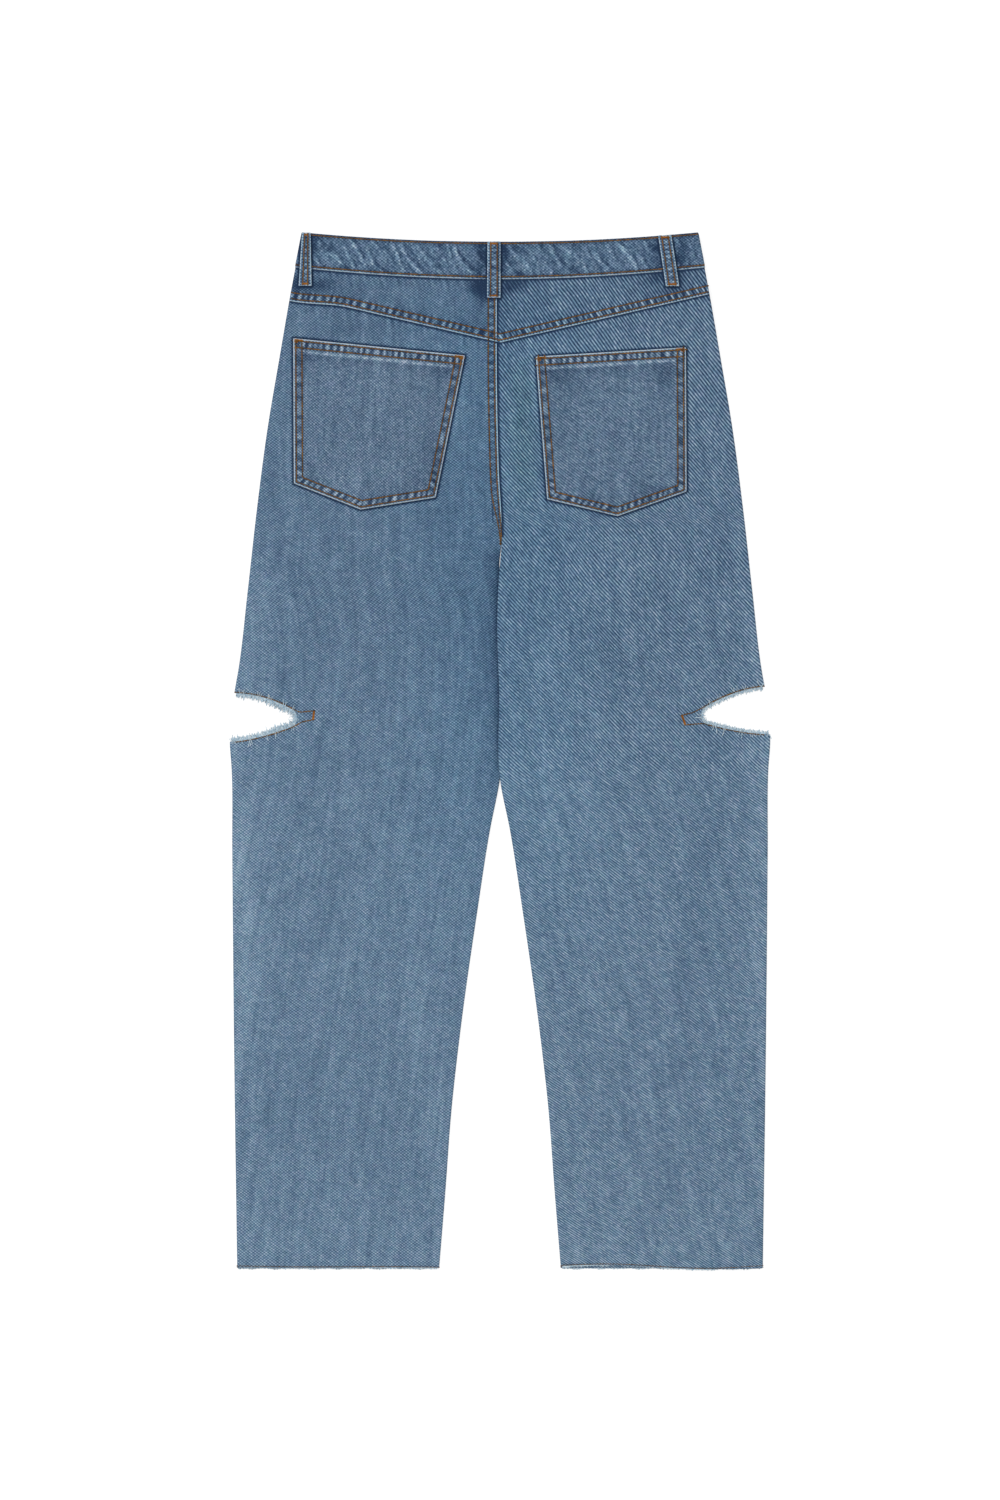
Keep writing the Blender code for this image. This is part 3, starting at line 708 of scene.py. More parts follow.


# The wash, as brightness steps: by height, along the side edges, and in places, some of which are painted
# shade
WASH_BY_HEIGHT: Knots = (
    (-520.0, 0.085), (-470.0, 0.065), (-400.0, 0.045), (-150.0, 0.042), (0.0, 0.02),
    (150.0, -0.02), (330.0, -0.035), (520.0, -0.06),
)
SIDE_WEAR = 0.06
WASH_AND_SHADE = ovals(
    (-252, -150, 330, 20, 0, 0.07), (-75, -290, 300, 22, -8, 0.035), (-240, 130, 190, 22, 3, 0.05),
    # the darker oval at (-15, 120) is painted shadow along the crotch fold, and those at (112, 95) and (40,
    # 290) are painted shade in crease troughs
    (-15, 120, 230, 14, 0, -0.05), (-48, 180, 200, 34, 10, -0.035), (-70, 275, 110, 22, 0, -0.05),
    (-30, 35, 130, 30, 4, -0.02), (112, 95, 80, 13, -20, -0.07), (190, -190, 260, 12, 2, -0.06),
    (210, -120, 120, 12, 4, -0.05), (258, 100, 120, 12, 3, 0.03), (40, 290, 150, 16, -4, -0.045),
    (50, -20, 160, 34, -12, 0.03), (60, -360, 160, 20, -8, 0.03),
    # unfaded where a loop stood over the cloth
    (-186, 506, 26, 8, 25, -0.34), (-203, 467, 18, 8, 0, -0.36), (-178, 467, 26, 7, 80, -0.26),
    (-24, 464, 14, 9, 60, -0.24), (-110, 458, 70, 12, 84, 0.03), (100, 452, 80, 10, -76, 0.02),
    (-150, 424, 70, 7, 80, -0.07), (-17, 499, 30, 6, 0, -0.48), (-19, 463, 24, 7, -10, -0.48),
    (4, 499, 30, 5, 0, -0.45), (12, 466, 28, 6, 75, -0.45), (6, 448, 30, 6, 0, -0.16),
    (157, 494, 42, 6, 4, -0.28), (154, 473, 26, 6, 80, -0.24), (181, 488, 50, 8, 4, -0.24),
    (166, 457, 20, 7, 90, -0.16),
    # painted shade under the corners of the pocket mouths
    (65, 376, 26, 9, 0, -0.14), (165, 376, 26, 9, 0, -0.14), (-188, 392, 20, 8, 0, -0.08),
    (-58, 378, 24, 8, 15, -0.12), (-5, 380, 40, 8, 0, -0.10), (50, 378, 30, 9, 90, -0.08),
    (-190, 408, 34, 10, 80, -0.07), (-46, 388, 26, 9, 80, -0.08), (150, 258, 34, 12, 70, -0.10),
    (100, 245, 44, 10, -76, -0.08), (-66, 284, 50, 12, -8, -0.07), (-110, 256, 50, 9, 70, -0.06),
)


def wash(x: Array, y: Array) -> Array:
    """Reads the wash, with the painted shade among its places.

    Args:
        x: Places across.
        y: Heights.

    Returns:
        The brightness about its mean.
    """
    reach = through(SIDE_SEAM, y) - np.abs(x)
    sides = SIDE_WEAR * (1.0 - ease(reach, 3.0, 30.0)) * ease(y, 280.0, 60.0) * ease(y, -520.0, -120.0)
    return through(WASH_BY_HEIGHT, y) + sides + gathered(WASH_AND_SHADE, x, y)


@dataclass(frozen=True)
class Denim:
    """A washed indigo twill.  Lengths are in millimetres."""

    name: str
    wales: tuple[float, float] = (0.30, 0.30)  # diagonal ribs in a millimetre, across and up
    closing: float = 0.0  # how much closer the ribs lie for each millimetre down
    rib: float = 0.24
    fuller: float = 0.0  # how much stronger the ribs are for each millimetre up
    counter: float = 0.0  # the same for the ribs that lean the other way
    counter_wales: tuple[float, float] = (-0.27, 0.33)
    fleck: float = 0.28  # how far single floats differ
    float_length: float = 1.9
    slub: float = 0.45
    grain: float = 0.16
    fineness: float = 0.40  # of the grain, for each millimetre
    dash: float = 0.0  # long uneven streaks along the ribs
    lean: float = 0.0  # degrees by which the washed streaks lean
    rows: tuple[float, ...] = (2.4, 8.5)  # how far inside a fold the stitches pull the cloth down, where its groove gets painted shade
    # how much painted shade darkens each groove
    groove: float = 0.30
    worn: float = 0.66  # how much paler the folds are
    streak: float = 0.30  # long washed streaks
    uneven: float = 3.0  # how much the ribs vary in strength
    cast: Colour = (1.0, 1.0, 1.0)  # an even shift of the hue
    bluer: float = 0.0  # how much bluer the cloth is round the seat and the inner thighs
    greener: float = 0.0  # and how much greener in a stripe beside the seat seam
    level: float = 0.515
    shades: Shades = (
        (0.0, (36, 57, 87)),
        (0.25, (62, 88, 117)),
        (0.5, (96, 122, 150)),
        (0.75, (132, 163, 190)),
        (1.0, (190, 213, 229)),
    )


def linear(colour: Colour) -> tuple[float, float, float, float]:
    """A display colour from 0 to 255 as a linear one with alpha."""
    parts = [c / 255.0 for c in colour]
    return (*(c / 12.92 if c <= 0.04045 else ((c + 0.055) / 1.055) ** 2.4 for c in parts), 1.0)


class Graph:
    """Short ways to build a node tree."""

    def __init__(self, tree: bpy.types.NodeTree) -> None:
        """Keeps the tree that the nodes go into."""
        self.tree = tree

    def fill(self, node: Node, **inputs: object) -> Node:
        """Fills inputs of a node.

        Args:
            node: The node.
            **inputs: Values or sockets by input name, with _ for a space, or in0, in1
                and so on by place.

        Returns:
            The node.
        """
        for name, value in inputs.items():
            by_place = name.startswith("in") and name[2:].isdigit()
            socket = node.inputs[int(name[2:]) if by_place else name.replace("_", " ")]
            if isinstance(value, Socket):
                self.tree.links.new(value, socket)
            else:
                socket.default_value = value
        return node

    def add(self, kind: str, settings: dict | None = None, **inputs: object) -> Node:
        """Adds a node.

        Args:
            kind: The node's type.
            settings: Properties of the node.
            **inputs: What fill() puts into it.

        Returns:
            The node.
        """
        node = self.tree.nodes.new(kind)
        for name, value in (settings or {}).items():
            setattr(node, name, value)
        return self.fill(node, **inputs)

    def math(self, operation: str, *values: object) -> Socket:
        """Adds a Math node and returns its result."""
        inputs = {f"in{k}": value for k, value in enumerate(values)}
        return self.add("ShaderNodeMath", {"operation": operation}, **inputs).outputs[0]

    def vector(self, operation: str, *values: object) -> Socket:
        """Adds a Vector Math node.

        Args:
            operation: The node's operation.
            *values: Vectors, or sockets that give them.

        Returns:
            Its result, which is a number for a dot product.
        """
        inputs = {f"in{k}": value for k, value in enumerate(values)}
        node = self.add("ShaderNodeVectorMath", {"operation": operation}, **inputs)
        return node.outputs["Value" if operation == "DOT_PRODUCT" else "Vector"]

    def scaled(self, vector: object, amount: object) -> Socket:
        """A vector times a number."""
        return self.add("ShaderNodeVectorMath", {"operation": "SCALE"}, in0=vector, Scale=amount).outputs[0]

    def total(self, first: object, *others: object) -> Socket:
        """The sum of several values."""
        return functools.reduce(lambda sum_so_far, value: self.math("ADD", sum_so_far, value), others, first)

    def noise(self, place: object, scale: float, detail: float = 2.0) -> Socket:
        """Noise about zero."""
        made = self.add("ShaderNodeTexNoise", Vector=place, Scale=scale, Detail=detail)
        return self.math("SUBTRACT", made.outputs["Fac"], 0.5)

    def stretched(self, place: object, across: float, along: float, turn: float = 0.0) -> Socket:
        """Coordinates scaled by two rates for each millimetre, after a turn in degrees."""
        turned = self.add("ShaderNodeMapping", Vector=place, Rotation=(0.0, 0.0, math.radians(turn)))
        return self.vector("MULTIPLY", turned.outputs[0], (across, along, 1.0))

    def read(self, name: str) -> Socket:
        """A piece's own number at each point."""
        return self.add("ShaderNodeAttribute", {"attribute_name": name}).outputs["Fac"]

    def smooth(self, value: object, start: float, end: float, low: float, high: float) -> Socket:
        """Carries a value smoothly from one pair of ends to another.

        Args:
            value: The socket or number to carry over.
            start: Where the value gives low.
            end: Where it gives high.
            low: The result at start.
            high: The result at end.

        Returns:
            The result.
        """
        ends = {"From_Min": start, "From_Max": end, "To_Min": low, "To_Max": high}
        settings = {"interpolation_type": "SMOOTHSTEP"}
        return self.add("ShaderNodeMapRange", settings, Value=value, **ends).outputs[0]

    def shaded(self, level: Socket, shades: Shades) -> Socket:
        """Colours a level.

        Args:
            level: The level, from 0 to 1.
            shades: At least two colours with their levels.

        Returns:
            The colour.
        """
        ramp = self.add("ShaderNodeValToRGB", Fac=level)
        elements = ramp.color_ramp.elements
        for spot, colour in shades[1:-1]:
            elements.new(spot).color = linear(colour)
        elements[0].color = linear(shades[0][1])
        elements[len(elements) - 1].color = linear(shades[-1][1])
        return ramp.outputs["Color"]

    def bump(self, shader: Node, height: Socket, strength: float, distance: float) -> None:
        """Gives a shader a fine relief."""
        relief = self.add("ShaderNodeBump", Height=height, Strength=strength, Distance=distance)
        self.fill(shader, Normal=relief.outputs[0])


def new_material(name: str) -> tuple[Material, Graph, Node]:
    """A material with nodes.

    Args:
        name: The material's name.

    Returns:
        The material, its graph and its shader.
    """
    made = bpy.data.materials.new(name)
    made.use_nodes = True
    return made, Graph(made.node_tree), made.node_tree.nodes["Principled BSDF"]


class DenimFinish:
    """Builds the node material of one denim."""

    RELIEF = 0.64 * MM
    BEND = 4.0  # how far the ribs stray from straight lines

    def __init__(self, denim: Denim) -> None:
        """Keeps the denim's sizes and colours."""
        self.denim = denim

    def weave(self, g: Graph, place: Socket) -> tuple[Socket, Socket, Socket]:
        """Draws the twill and its uneven yarns.

        Args:
            g: The material's graph.
            place: Millimetres across and along the warp.

        Returns:
            The brightness about zero, the relief and a random colour for each float.
        """
        d = self.denim
        bent = g.vector("ADD", place, g.math("MULTIPLY", g.noise(place, 0.014, 1.0), self.BEND))

        def counted(across: float, up: float) -> Socket:
            """Ribs passed on the way to a place, from their number in a millimetre."""
            return g.vector("DOT_PRODUCT", bent, (across, up, 0.0))

        across, up = d.wales
        height = counted(0.0, 1.0)
        closer = g.math("MULTIPLY", g.math("MULTIPLY", height, height), -0.5 * d.closing)
        ribs = g.math("ADD", counted(across, up), closer)
        length = math.hypot(across, up) * d.float_length
        row = g.math("FLOOR", ribs)
        step = g.math("FLOOR", g.math("MULTIPLY_ADD", row, 0.37, counted(up / length, -across / length)))
        cell = g.add("ShaderNodeCombineXYZ", X=row, Y=step)
        floats = g.add("ShaderNodeTexWhiteNoise", {"noise_dimensions": "2D"}, Vector=cell.outputs[0])
        turn = -math.degrees(math.atan2(up, across))
        dashes = g.noise(g.stretched(place, 0.6, 0.12, turn), 1.0, 2.0)
        strength = g.math("MULTIPLY_ADD", dashes, d.uneven, 1.0)
        gain = g.math("MAXIMUM", g.math("MULTIPLY_ADD", height, d.fuller, 1.0), 1.0)
        strength = g.math("MULTIPLY", strength, gain)
        wave = g.math("SINE", g.math("MULTIPLY", ribs, 2.0 * math.pi))
        twill = g.math("MULTIPLY", g.math("MULTIPLY", wave, strength), d.rib)
        if d.counter:
            crossing = g.math("SINE", g.math("MULTIPLY", counted(*d.counter_wales), 2.0 * math.pi))
            twill = g.math("MULTIPLY_ADD", crossing, d.counter, twill)
        short_slub = g.noise(g.stretched(place, 0.42, 0.045), 1.0, 1.0)
        yarns = (
            (g.math("SUBTRACT", floats.outputs["Value"], 0.5), d.fleck),
            (g.noise(g.stretched(place, 0.26, 0.017), 1.0, 2.0), d.slub),
            (short_slub, d.slub * 0.4),
            (g.noise(g.stretched(place, 0.05, 0.40), 1.0, 1.0), d.slub * 0.35),  # along the weft
            (g.noise(place, d.fineness, 1.0), d.grain),
            (g.noise(g.stretched(place, 0.40, 0.085, turn), 1.0, 1.0), d.dash),
            (g.noise(g.stretched(place, 0.085, 0.010, d.lean), 1.0, 2.0), d.streak),
            (g.noise(place, 0.03, 2.0), 0.10),
            (g.noise(place, 0.09, 2.0), 0.16),
        )
        pale = g.total(twill, *(g.math("MULTIPLY", yarn, amount) for yarn, amount in yarns))
        relief = g.total(g.math("MULTIPLY", wave, 0.2), g.math("MULTIPLY", short_slub, 0.4))
        return pale, relief, floats.outputs["Color"]

    def cast(self, g: Graph, place: Socket, colour: Socket) -> Socket:
        """Shifts the hue of the whole cloth, and that of two soft areas of it.

        Args:
            g: The material's graph.
            place: Millimetres across and along the warp.
            colour: The cloth's colour.

        Returns:
            The shifted colour.
        """
        d = self.denim
        colour = g.vector("MULTIPLY", colour, d.cast)
        spot = g.add("ShaderNodeSeparateXYZ", Vector=place)
        across, up = spot.outputs["X"], spot.outputs["Y"]
        # each bound is a measure, where the shift ends and from where it is full
        middle = ((g.math("ABSOLUTE", across), 150.0, 15.0), (up, -280.0, 40.0), (up, 500.0, 400.0))
        stripe = ((across, 8.0, 26.0), (across, 50.0, 30.0), (up, 215.0, 290.0), (up, 405.0, 360.0))
        areas = (
            (d.bluer, (-0.12, 0.0, 0.04), middle),
            (d.greener, (-0.05, 0.02, -0.10), stripe),
        )
        for share, shift, bounds in areas:
            if not share:
                continue
            for value, none, full in bounds:
                ends = (none, full, 0.0, 1.0) if full > none else (full, none, 1.0, 0.0)
                share = g.math("MULTIPLY", share, g.smooth(value, *ends))
            colour = g.vector("MULTIPLY_ADD", g.scaled(shift, share), colour, colour)
        return colour

    def tinted(self, g: Graph, place: Socket, colour: Socket, fleck: Socket) -> Socket:
        """Lets the indigo drift between teal and violet.

        Args:
            g: The material's graph.
            place: Millimetres across and along the warp.
            colour: The cloth's colour.
            fleck: A random colour for each float.

        Returns:
            The drifting colour.
        """
        drift = g.add("ShaderNodeTexNoise", Vector=place, Scale=0.11, Detail=3.0).outputs["Color"]
        for source, amount in ((drift, (0.26, 0.13, 0.07)), (fleck, (0.09, 0.05, 0.04))):
            shift = g.vector("MULTIPLY", g.vector("SUBTRACT", source, (0.5, 0.5, 0.5)), amount)
            colour = g.vector("MULTIPLY_ADD", shift, colour, colour)
        return colour

    def made(self) -> Material:
        """Builds the material.

        Returns:
            The material.
        """
        d = self.denim
        material, g, shader = new_material(d.name)
        place = g.scaled(g.add("ShaderNodeUVMap", {"uv_map": "weave"}).outputs[0], 1.0 / MM)
        pale, relief, float_colour = self.weave(g, place)
        fray = g.noise(place, 0.5, 2.0)
        # worn along the fold, and painted shade, partly unfaded cloth, in the lee of a piece on top
        inset = g.read("edge")
        edge = g.math("ADD", inset, g.math("MULTIPLY", fray, 1.1))
        worn = g.smooth(edge, 0.5, 1.4, d.worn, 0.0)
        under = g.math("ADD", g.read("under"), g.math("MULTIPLY", fray, 1.2))
        painted_lee_shade = g.smooth(under, 0.7, 3.2, -0.66, 0.0)
        # painted shade in the groove along each row of stitches
        away = [g.math("ABSOLUTE", g.math("SUBTRACT", inset, row)) for row in d.rows]
        pulled = [g.smooth(distance, 0.3, 1.35, -d.groove, 0.0) for distance in away]
        bright = g.total(pale, d.level, g.read("tone"), worn, painted_lee_shade, *pulled)
        cast = self.cast(g, place, g.shaded(bright, d.shades))
        g.bump(shader, relief, 0.6, self.RELIEF)
        g.fill(
            shader, Base_Color=self.tinted(g, place, cast, float_colour), Roughness=0.92,
            Specular_IOR_Level=0.18, Sheen_Weight=0.06, Sheen_Roughness=0.5,
        )
        return material


class Weaves:
    """The denims of this garment: each panel's cut turns the twill its own way."""

    def __init__(self) -> None:
        """Builds every denim material."""
        self.right = self.denim(
            "right", wales=(0.28, 0.30), closing=0.0002, rib=0.30, fuller=0.0004, fleck=0.14, slub=0.19,
            streak=0.20, grain=0.08, dash=0.24, lean=-9.0, bluer=0.85, greener=0.7, uneven=2.3, level=0.505,
        )
        self.left = self.denim(
            "left", wales=(0.28, 0.38), rib=0.18, counter=0.145, fleck=0.13, slub=0.24, streak=0.20,
            grain=0.08, dash=0.08, lean=2.0, bluer=0.85,
        )
        self.band = self.denim(
            "band", wales=(0.27, 0.35), rib=0.14, counter=0.11, slub=0.3, grain=0.40, fineness=0.60,
            rows=(2.4,), level=0.53,
        )
        self.loop = self.denim(
            "loop", wales=(0.27, 0.35), rib=0.17, counter=0.15, slub=0.3, rows=(3.1,), worn=0.50,
        )
        self.left_pocket = self.denim(
            "left pocket", wales=(0.31, 0.36), rib=0.17, counter=0.13, fleck=0.17, slub=0.26, grain=0.42,
            fineness=0.60, streak=0.12, level=0.535, cast=(1.06, 1.0, 0.98),
        )
        self.right_pocket = self.denim(
            "right pocket", wales=(0.26, 0.34), rib=0.215, fleck=0.17, slub=0.26, grain=0.40,
            fineness=0.60, streak=0.12, dash=0.2, level=0.53, cast=(1.05, 1.0, 0.98),
        )
        self.unworn = self.denim("unworn", level=0.34)

    @staticmethod
    def denim(name: str, **sizes: object) -> Material:
        """Builds one denim."""
        return DenimFinish(Denim("denim " + name, **sizes)).made()

    def of(self, side: Side) -> Material:
        """The denim of one side's leg."""
        return self.right if side is Side.RIGHT else self.left


def placed(name: str, data: bpy.types.ID) -> Piece:
    """Puts a new object into the scene.

    Args:
        name: Its name.
        data: Its mesh, light or camera.

    Returns:
        The object.
    """
    made = bpy.data.objects.new(name, data)
    bpy.context.scene.collection.objects.link(made)
    return made


def lattice(index: Array) -> Array:
    """Four-cornered faces between the rows and columns of a grid of vertices."""
    corners = (index[:-1, :-1], index[:-1, 1:], index[1:, 1:], index[1:, :-1])
    return places(*(c.ravel() for c in corners))


@dataclass
class Cloth:
    """The middle surface of one piece of cloth, and what its finish reads."""

    name: str
    points: Array
    faces: Array
    weave: Array
    tone: Array
    edge: Array
    under: Array

    @classmethod
    def of_grid(
        cls, name: str, points: Array, weave: Array, tone: Array, edge: Array, under: Array,
    ) -> "Cloth":
        """Makes cloth over a plain grid.

        Args:
            name: The piece's name.
            points: Its points, rows by columns.
            weave: Their places on the flat cloth.
            tone: How much paler it is.
            edge: Distance in from a worn fold.
            under: Distance out from a piece on top, where the finish paints shade.

        Returns:
            The cloth.
        """
        shape = points.shape[:2]
        index = np.arange(shape[0] * shape[1]).reshape(shape)
        flat = [np.broadcast_to(a, shape).reshape(-1) for a in (tone, edge, under)]
        return cls(name, points.reshape(-1, 3), lattice(index), weave.reshape(-1, 2), *flat)

    def without_loose_points(self) -> "Cloth":
        """Drops the points that no face uses.

        Returns:
            The same cloth without them.
        """
        used, faces = np.unique(self.faces, return_inverse=True)
        kept = [a[used] for a in (self.weave, self.tone, self.edge, self.under)]
        return Cloth(self.name, self.points[used], faces.reshape(self.faces.shape), *kept)

    def made(self, wall: float, finish: Material) -> Piece:
        """Builds the piece.

        Args:
            wall: Thickness in millimetres.
            finish: Its material.

        Returns:
            The object, as a closed wall about the middle surface.
        """
        mesh = bpy.data.meshes.new(self.name)
        mesh.from_pydata((self.points * MM).tolist(), [], self.faces.tolist())
        mesh.shade_smooth()
        layer = mesh.uv_layers.new(name="weave")
        layer.data.foreach_set("uv", (self.weave[self.faces.ravel()] * MM).ravel().astype(np.float32))
        for name in ("tone", "edge", "under"):
            data = mesh.attributes.new(name, "FLOAT", "POINT").data
            data.foreach_set("value", getattr(self, name).astype(np.float32))
        mesh.materials.append(finish)
        piece = placed(self.name, mesh)
        solid = piece.modifiers.new("wall", "SOLIDIFY")
        solid.thickness, solid.offset = wall * MM, 0.0
        return piece


@dataclass(frozen=True)
class PatchPocket:
    """A back pocket by its corners."""

    name: str
    side: Side
    top_left: tuple[float, float]
    top_right: tuple[float, float]
    bottom_right: tuple[float, float]
    tip: tuple[float, float]
    bottom_left: tuple[float, float]

    def ring(self) -> Array:
        """Corners of the outline, from the top left one round by the right."""
        corners = (self.top_left, self.top_right, self.bottom_right, self.tip, self.bottom_left)
        return np.array(corners, float)


POCKETS = (
    PatchPocket(
        "back_pocket_left", Side.LEFT,
        (-206.6, 413.1), (-35.3, 395.9), (-64.6, 254.3), (-139.4, 242.2), (-206.0, 268.3),
    ),
    PatchPocket(
        "back_pocket_right", Side.RIGHT,
        (36.0, 394.8), (185.8, 404.0), (186.5, 260.2), (117.6, 235.6), (47.4, 252.6),
    ),
)

MOUTH_CENTRE = (215.0, 478.0)
MOUTH_REACH = (97.0, 83.0)


def mouth_height(distance: Array, grow: float = 0.0) -> Array:
    """Height of a front pocket's mouth over the distance, high where there is none."""
    share = np.clip((MOUTH_CENTRE[0] - distance) / (MOUTH_REACH[0] + grow), 0.0, 1.0)
    return MOUTH_CENTRE[1] - MOUTH_REACH[1] * np.sqrt(1.0 - share**2)


@dataclass(frozen=True)
class LegPanel:
    """One back or front leg, with its slit, up to the yoke or the waistband."""

    side: Side
    layer: Layer
    step: float
    low_rows: float  # distance between rows below and above the crotch
    high_rows: float
    fine: tuple[float, ...] = ()  # columns near the inner edge

    @property
    def name(self) -> str:
        """The piece's name."""
        return leg_name(self.layer, self.side) + "_cloth"

    def top(self, distance: Array) -> Array:
        """Reads the panel's top edge.

        Args:
            distance: Distances from the middle.

        Returns:
            Its heights.
        """
        if self.layer is Layer.BACK:
            return yoke_height(self.side, distance) + FELL_UNDER
        waist = waist_curve(FRONT_BOTTOM, distance) - HAIRLINE
        return np.minimum(waist, mouth_height(distance))

    def heights(self, ply: Ply, u: Array) -> tuple[Array, Array]:
        """Heights of all rows.

        Args:
            ply: The ply that the panel lies on.
            u: Running numbers of its columns.

        Returns:
            Those below the slit and those above it, rows by columns.
        """
        slit = SLITS[self.side]
        tip = slit.tip[1]
        foot, head = (BACK_HEM, YOKE_MIDDLE) if self.layer is Layer.BACK else (FRONT_HEM, FRONT_BOTTOM[0])
        hem = hem_height(self.side, self.layer, u)
        lower = ply.meet(u, lambda d: slit.lips(d)[0])
        upper = ply.meet(u, lambda d: slit.lips(d)[1])
        top = ply.meet(u, self.top)
        base = np.linspace(foot, tip, round((tip - foot) / self.low_rows) + 1)[:, None]
        below = base + (hem - foot) * ease(base, -330.0, foot)
        below = below + (lower - tip) * ease(base, tip - 75.0, tip)
        to_crotch = np.linspace(tip, CROTCH, round((CROTCH - tip) / self.low_rows) + 1)
        on = np.linspace(CROTCH, head, round((head - CROTCH) / self.high_rows) + 1)
        base = np.concatenate([to_crotch, on[1:]])[:, None]
        above = base + (upper - tip) * ease(base, tip + 75.0, tip)
        above = above + (top - head) * ease(base, 290.0, head)
        return below, above

    def cloth(self) -> Cloth:
        """Lays the panel.

        Returns:
            Its middle surface.
        """
        ply = Ply(self.side, self.layer, strip_top=YOKE_MIDDLE + 2.0)
        slit = SLITS[self.side]
        start, end = ply.flat_at(slit.tip[1])
        tip = slit.tip[0] - start
        extra = self.fine + tuple(tip + inward for inward in (0.0, 0.4, 1.2, 2.4, 4.0))
        if self.layer is Layer.FRONT:
            corner = 120.3 - start
            extra = extra + tuple(corner + past for past in (-0.6, 0.0, 1.0, 2.6, 5.0, 8.5))
        u = columns(end - start, self.step, extra)
        tip_u = ROLL_SHARE + (1.0 - 2.0 * ROLL_SHARE) * tip / (end - start)
        below, above = self.heights(ply, u)
        y = np.concatenate([below, above])
        u = u + 0.0 * y
        points = ply.points(u, y)
        index = np.arange(y.size).reshape(y.shape)
        closed = u[0] <= tip_u + 1e-9
        index[len(below)][closed] = index[len(below) - 1][closed]
        faces = np.concatenate([lattice(index[: len(below)]), lattice(index[len(below) :])])
        weave = places(self.side * ply.spread(u, y), y)
        flat = [a.reshape(-1) for a in self.wear(ply, points[..., 0], points[..., 1])]
        laid = Cloth(self.name, points.reshape(-1, 3), faces, weave.reshape(-1, 2), *flat)
        return laid.without_loose_points()

    def wear(self, ply: Ply, x: Array, y: Array) -> tuple[Array, Array, Array]:
        """Where the panel is faded and worn, and where shade is painted on it.

        Args:
            ply: The ply that the panel lies on.
            x: Places across.
            y: Heights.

        Returns:
            Tone with painted shade below the yoke and beside the crotch fold, distance in from a worn fold
            and distance out from a piece on top, where the finish paints shade.
        """
        tone = wash(x, y)
        if self.layer is Layer.FRONT:
            # painted shade on the part of each front panel that runs past the middle, above the fly's end
            under = np.where(x * self.side > 0.0, FAR, 0.0)
            return tone, np.full(x.shape, FAR), np.where(y > FLY_END, under, FAR)
        inset, strength = ply.felled(x, y)
        edge = np.where((strength > 0.6) & (y > 209.0), inset, FAR)
        band = strength * between(inset, SEAT_ROWS, 2.6, 4.0)
        tone = tone + band * ((0.14 + 0.16 * ease(y, 300.0, 370.0)) * rope(y, 5.0) - 0.06)
        distance = np.abs(x)
        yoke = (yoke_height(self.side, distance) - y) * OFF_YOKE
        below_yoke = np.maximum(yoke, 0.0)
        streak = waver(x / 7.0 + 0.02 * y, 7.0) * np.exp(-below_yoke / 9.0)
        # streaks pulled in below the yoke, and painted shade just under its folded edge
        tone = tone + 0.20 * streak - 0.05 * np.exp(-below_yoke / 5.0)
        scallops = rope(distance * ALONG_YOKE, 1.0 + self.side) * ease(yoke, 0.0, 1.0)
        tone = tone + 0.16 * scallops * np.exp(-below_yoke / 4.0)
        # under is where the finish paints shade: below the yoke, outside the pockets and right of the seat
        # seam
        under = below_yoke
        for pocket in POCKETS:
            away, along = clear_of(x, y, pocket.ring())
            under = np.minimum(under, away)
            streak = waver(along / 7.0, 11.0) * np.exp(-away / 6.0)
            tone = tone + 0.05 * streak + 0.03 * bell(away, 5.0, 4.0)
        if self.side is Side.RIGHT:
            beside = x - through(SEAT_SEAM, y)
            beside = np.where(y > LAP_START, np.maximum(beside, 0.0), FAR)
            under = np.minimum(under, beside)
            pulls = waver((y + 0.9 * x) / 9.0, 2.0) * np.exp(-np.maximum(beside, 0.0) / 16.0)
            tone = tone + np.where(y > LAP_START, 0.05 * pulls, 0.0)
        else:
            # painted shadow beside the right leg's inner edge, where it lies over the left leg
            fold = through(INNER_EDGE[Side.RIGHT], y) - x
            lee = ease(y, -30.0, 20.0) * ease(y, CROTCH + 4.0, CROTCH - 8.0)
            tone = tone - (0.26 * np.exp(-np.abs(fold) / 2.2) + 0.07 * np.exp(-np.abs(fold) / 9.0)) * lee
            # the drawn-in end of the seat seam
            tone = tone - 0.06 * bell(inset, 5.0, 8.0) * ease(y, 250.0, 215.0)
        return tone, edge, under


